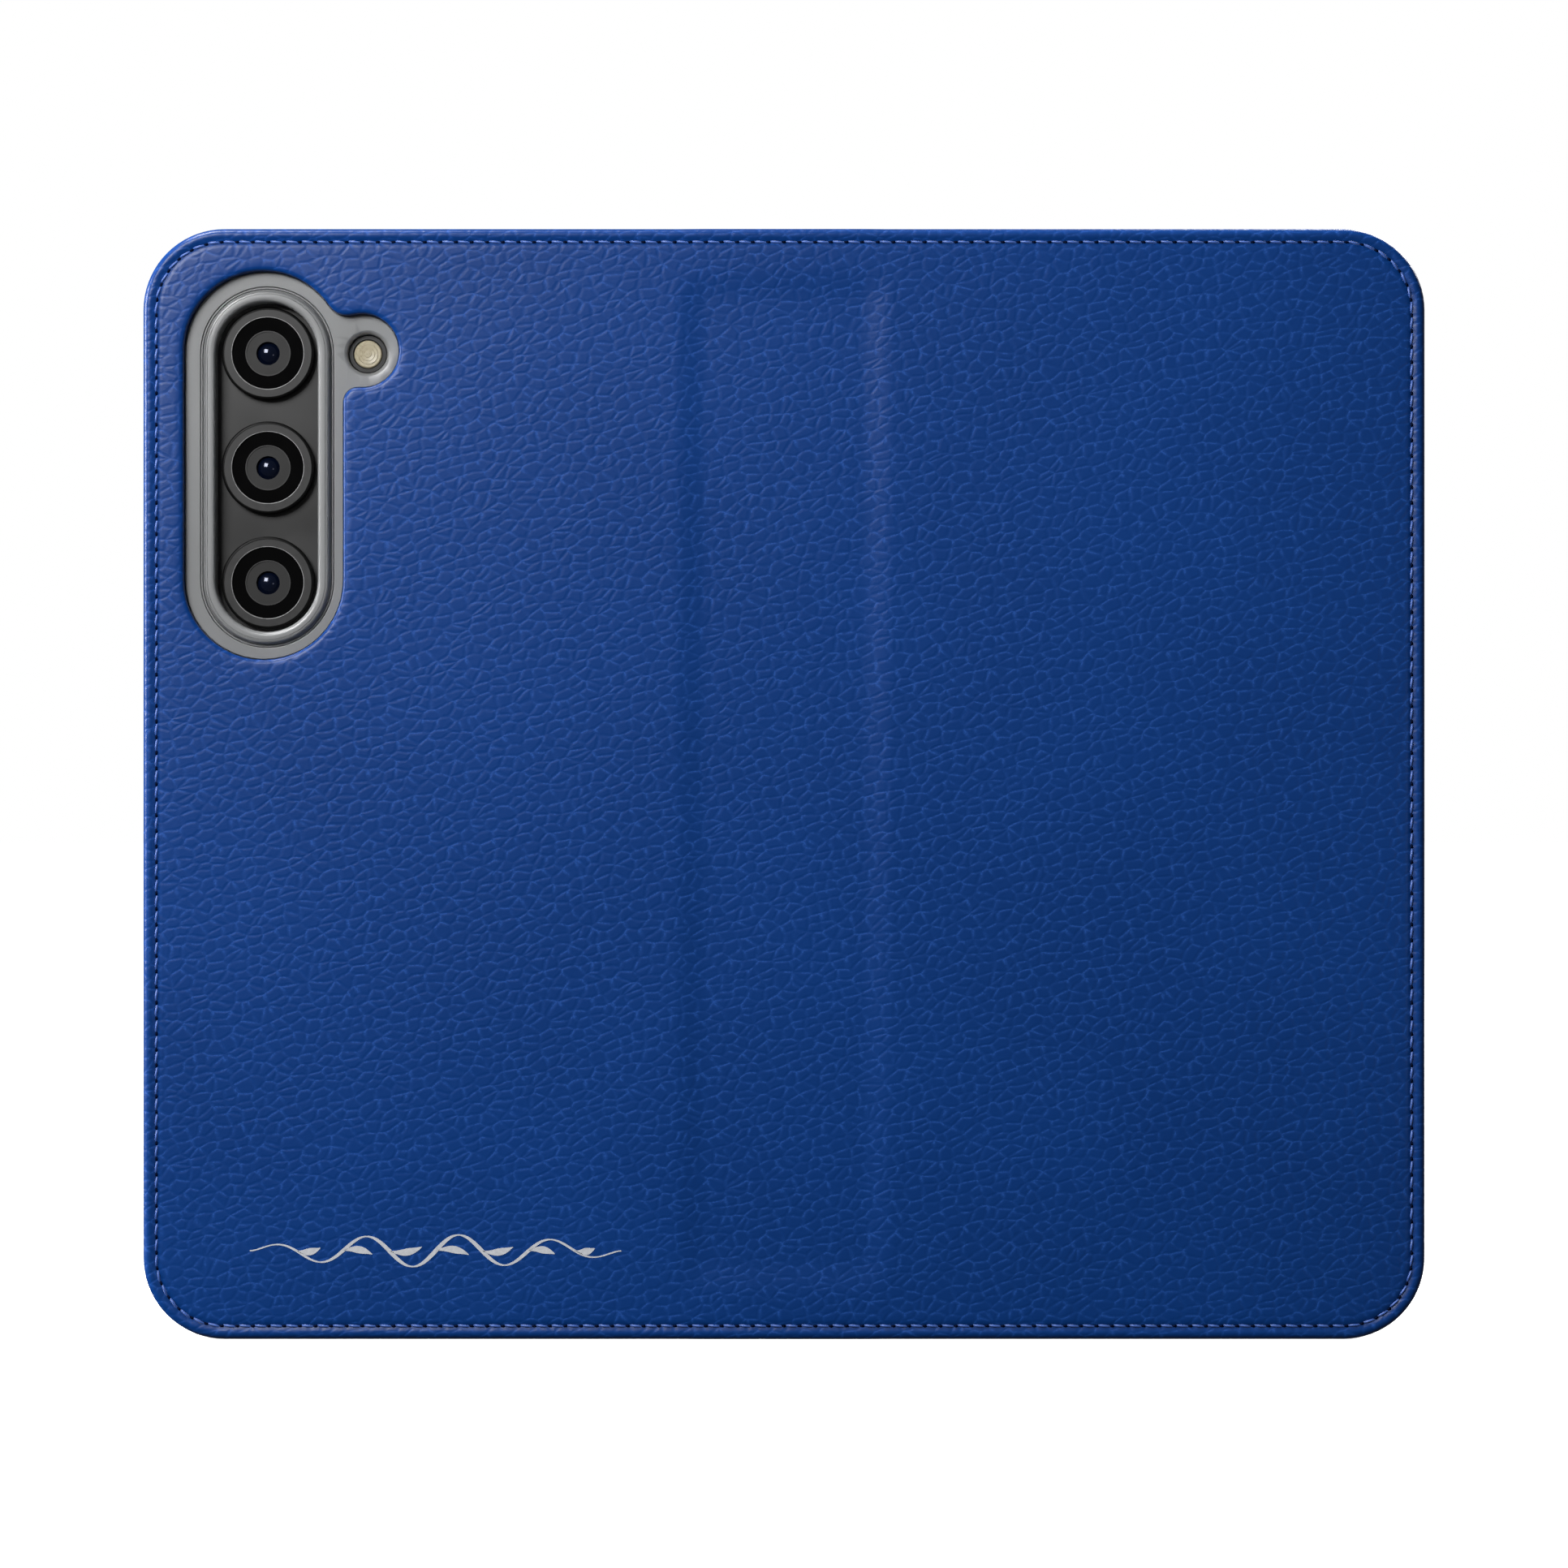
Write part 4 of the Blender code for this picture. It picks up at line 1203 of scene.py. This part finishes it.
def turned(name, centre, profile, looks):
    """Spin a closed profile of (radius, depth, finish of the step that follows)."""
    bm = bmesh.new()
    rings = []
    for radius, depth, _ in profile:
        circle = [(centre.x, centre.z)]
        if radius:
            circle = arc(centre.x, centre.z, radius, 0, 360, TURN_STEPS)[:-1]
        rings.append(loop_at(bm, circle, depth))
    for (_, _, finish), first, second in zip(profile, rings, rings[1:] + rings[:1]):
        if len(first) == 1 and len(second) == 1:
            continue
        for k in range(TURN_STEPS):
            following = (k + 1) % TURN_STEPS
            corners = [first[k % len(first)], first[following % len(first)],
                       second[following % len(second)], second[k % len(second)]]
            face = bm.faces.new(list(dict.fromkeys(corners)))
            face.material_index = finish
    return finish_piece(name, bm, looks)


def in_mm(rows, base):
    """Profile rows written in mm, with depths measured out from the base."""
    return [(radius * MM, base - rise * MM, finish) for radius, rise, finish in rows]


LENS_BASE = PHONE_BACK - 0.1 * MM
# Finish 2 is the cut edge, painted light: bare metal and a painted highlight.
ring_rows = [(4.92, 0.0, 0), (6.4, 0.0, 0), (6.4, 1.14, 0), (6.36, 1.27, 0), (6.26, 1.36, 0),
             (6.1, 1.4, 0), (6.02, 1.4, 0), (6.02, 1.34, 1), (5.03, 1.34, 2), (5.03, 1.37, 2),
             (4.98, 1.37, 2), (4.92, 1.29, 0)]
glass_rows = [(0.0, 1.0, 0), (0.35, 0.97, 0), (0.7, 0.88, 0), (1.0, 0.75, 0), (1.25, 0.6, 0),
              (1.45, 0.44, 0), (1.62, 0.36, 1), (1.62, 0.94, 1), (2.98, 0.94, 2), (2.98, 1.05, 2),
              (3.12, 1.05, 2), (3.12, 1.0, 3), (4.88, 1.0, 3), (4.88, 0.0, 3), (0.0, 0.0, 3)]
for place, centre in lens_centres.items():
    ring = turned(f"lens_collar_{place}", centre, in_mm(ring_rows, LENS_BASE),
                  [BLACK_METAL, RING_METAL, CUT_EDGE_AND_HIGHLIGHT])
    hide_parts(f"lens_ring_{place}")
    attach(ring, "back_cover")
    lens = turned(f"lens_optics_{place}", centre, in_mm(glass_rows, LENS_BASE),
                  [PUPIL, LENS_GREY, RING_METAL, LENS_BLACK])
    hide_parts(f"lens_glass_{place}")
    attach(lens, "back_cover")

bezel_rows = [(2.0, 0.0, 0), (2.6, 0.0, 0), (2.6, 0.8, 0), (2.54, 0.86, 0), (2.06, 0.86, 0), (2.0, 0.8, 0)]
dome_rows = [(0.0, 0.9, 0), (0.45, 0.89, 0), (0.5, 0.83, 0), (0.9, 0.87, 0), (0.95, 0.79, 0), (1.35, 0.83, 0),
             (1.4, 0.73, 0), (1.75, 0.74, 0), (1.9, 0.6, 0), (1.9, 0.0, 0), (0.0, 0.0, 0)]
bezel = turned("flash_collar", flash_centre, in_mm(bezel_rows, LENS_BASE), [RING_METAL])
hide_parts("flash_bezel")
dome = turned("flash_dome", flash_centre, in_mm(dome_rows, LENS_BASE), [FLASH_YELLOW])
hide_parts("flash_lens")
selfie_centre = Vector((phone_middle.x, phone_middle.y, phone_high.z - 7.2 * MM))
selfie_rows = [(0.0, -0.03, 0), (0.7, -0.02, 0), (1.0, -0.01, 1), (1.7, -0.01, 1), (1.75, 0.1, 1),
               (0.0, 0.1, 1)]
selfie = turned("front_camera", selfie_centre, in_mm(selfie_rows, PHONE_FRONT), [PUPIL, LENS_BLACK])
for piece in (bezel, dome, selfie):
    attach(piece, "back_cover")
print("turned pieces have", TURN_STEPS, "steps")

# %% [markdown]
# Four pockets are stepped like stairs inside the front cover: a deep one for notes, then three for cards,
# each with a thumb notch. Their open edges are turned and creased with a hot iron, which leaves a fine
# line beside the edge, and a second row of stitches holds them down round the outside.

# %% Pockets
POCKET_INSET = 1.9 * MM
THUMB = 8.0 * MM
pocket_names = ["cash_pocket", "card_pocket_1", "card_pocket_2", "card_pocket_3"]
pocket_boxes = {name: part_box(name) for name in pocket_names}


def pocket_outline(edge_x, outer_x, notch, grow):
    """A panel's outline: square at its open edge, round at the free corners."""
    radius = CORNER - POCKET_INSET + grow
    low = edge_x - grow
    high = outer_x + grow
    bottom = POCKET_INSET - grow
    top = HEIGHT - POCKET_INSET + grow
    points = [(low, bottom)]
    points += arc(high - radius, bottom + radius, radius, -90, 0, 12)
    points += arc(high - radius, top - radius, radius, 0, 90, 12)
    points.append((low, top))
    if notch:
        thumb = THUMB - grow
        reach = math.degrees(math.acos(-grow / thumb))
        points += arc(edge_x, MIDDLE_Z, thumb, reach, -reach, 20)
    return points


def pocket_panel(name):
    low, high = pocket_boxes[name]
    back = depth_of(low.y)
    face = depth_of(high.y)
    bm = bmesh.new()

    def outline_at(grow):
        return pocket_outline(low.x, high.x, name != "cash_pocket", grow)

    profile = [(-2.3 * MM, face), (-1.45 * MM, face), (-1.3 * MM, face - 0.1 * MM), (-1.15 * MM, face),
               (-0.3 * MM, face), (-0.09 * MM, face - 0.07 * MM), (0.0, face - 0.24 * MM), (0.0, back)]
    loops = stack(bm, outline_at, profile)
    fill(bm, [loops[0]])
    fill(bm, [loops[-1]])
    return bm


for name in pocket_names:
    pocket = finish_piece(f"{name}_panel", pocket_panel(name), [POCKET_LEATHER])
    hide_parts(name)
    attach(pocket, "front_cover")
    print(pocket.name, len(pocket.data.polygons), "faces")


def pocket_seam_path():
    """A path round the pockets that climbs each step between them."""
    inset = POCKET_INSET + 1.75 * MM
    edges = [box[0].x for box in pocket_boxes.values()]
    levels = [depth_of(box[1].y) for box in pocket_boxes.values()]
    marks = [edges[0] + 0.9 * MM]
    for edge in edges[1:]:
        marks += [edge - 0.25 * MM, edge + 0.25 * MM]
    marks += [60 * MM, HALF_WIDTH - CORNER]

    def level(x):
        return max(depth for edge, depth in zip(edges, levels) if x > edge)

    radius = CORNER - inset
    points = [(x, inset) for x in marks]
    points += arc(HALF_WIDTH - CORNER, CORNER, radius, -90, 0, 14)[1:]
    points += arc(HALF_WIDTH - CORNER, HEIGHT - CORNER, radius, 0, 90, 14)
    points += [(x, HEIGHT - inset) for x in reversed(marks[:-1])]
    return [(x, OUTSIDE + level(x) - 0.03 * MM, z) for x, z in points]


seam = stitch_row("pocket_seam", pocket_seam_path(), THREAD, Outward=(0.0, 1.0, 0.0), Slant=-0.12)
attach(seam, "front_cover")

# %% [markdown]
# The studio is plain: a white floor, a white surround, and soft lights. A lamp up on the left gives the
# leather its sheen there and rakes across the grain. A side and a top lamp draw a bright line along the
# rolled edge, a low one fills in from the right, and one behind lights the pockets and the screen. The
# surround looks white but lights weakly, so that the blue stays deep.

# %% Studio
CAMERA_LENS = 120.0              # focal length and film width in mm
CAMERA_FILM = 36.0
FRAME_WIDTH = 215.8 * MM
FLOOR_HALF = 6.0


def area_light(name, place, target, size, power):
    data = bpy.data.lights.new(name, "AREA")
    data.size = size
    data.energy = power
    lamp = to_scene(name, data)
    lamp.location = place
    lamp.rotation_euler = (Vector(target) - Vector(place)).to_track_quat("-Z", "Y").to_euler()


def surround(seen, light):
    """A world that looks white to the camera and gives only a weak light."""
    world = bpy.data.worlds.new("white surround")
    bpy.context.scene.world = world
    world.use_nodes = True
    tree = world.node_tree
    tree.nodes.clear()
    path = add(tree, "ShaderNodeLightPath")
    strength = math_node(tree, "MULTIPLY_ADD", path.outputs["Is Camera Ray"], seen - light, light)
    glow = add(tree, "ShaderNodeBackground", {"Color": (1, 1, 1, 1), "Strength": strength})
    out = add(tree, "ShaderNodeOutputWorld")
    tree.links.new(glow.outputs[0], out.inputs["Surface"])


def studio_floor():
    mesh = bpy.data.meshes.new("studio_floor")
    corners = [(x * FLOOR_HALF, y * FLOOR_HALF, 0) for x, y in ((-1, -1), (1, -1), (1, 1), (-1, 1))]
    mesh.from_pydata(corners, [], [(0, 1, 2, 3)])
    look, tree, shader = new_material("white_floor", 0.9, Specular_IOR_Level=0.0, Emission_Strength=1.0)
    shader.inputs["Base Color"].default_value = (0.85, 0.85, 0.85, 1)
    far = add(tree, "ShaderNodeVectorMath", {0: object_place(tree)}, operation="LENGTH").outputs["Value"]
    glow = mix_colours(tree, blend_range(tree, far, 0.35, 1.0), (0.8, 0.8, 0.8, 1), (1, 1, 1, 1))
    tree.links.new(glow, shader.inputs["Emission Color"])
    mesh.materials.append(look)
    floor = to_scene("studio_floor", mesh)
    floor.visible_diffuse = False
    floor.visible_glossy = False


surround(seen=1.0, light=0.09)
studio_floor()
LAMPS = [  # name, place, target, size in metres, power in watts
    ("key_lamp", (-0.245, -0.43, 0.33), (0.0, 0.0, 0.08), 0.22, 3.75),
    ("low_lamp", (0.32, -0.60, 0.06), (-0.07, 0.0, 0.12), 0.08, 0.09),
    ("inside_lamp", (0.5, 0.9, 0.75), (0.0, 0.0, 0.07), 0.6, 16.0),
    ("side_lamp", (-0.75, -0.03, 0.25), (-0.08, 0.0, 0.08), 0.25, 9.0),
    ("top_lamp", (-0.30, -0.03, 0.85), (-0.04, 0.0, 0.15), 0.25, 10.0),
]
for lamp in LAMPS:
    area_light(*lamp)

camera_data = bpy.data.cameras.new("camera")
camera_data.lens = CAMERA_LENS
camera_data.sensor_width = CAMERA_FILM
camera_data.clip_start = 0.01
camera = to_scene("camera", camera_data)
distance = FRAME_WIDTH * CAMERA_LENS / CAMERA_FILM
camera.location = (0.0, OUTSIDE - distance, MIDDLE_Z)
camera.rotation_euler = (math.pi / 2, 0.0, 0.0)
bpy.context.scene.camera = camera
bpy.context.scene.view_settings.view_transform = "Standard"
print("camera is", round(distance, 3), "m from the covers")

# %% [markdown]
# Last, the count of faces and the frame's box are printed. The finished case has to keep the
# frame's size, give or take the softness of its leather.

# %% Sizes and finish
print("faces:", sum(count for _, count in piece_notes))
print("frame box:", [round(v / MM, 2) for v in (*frame_low, *frame_high)])
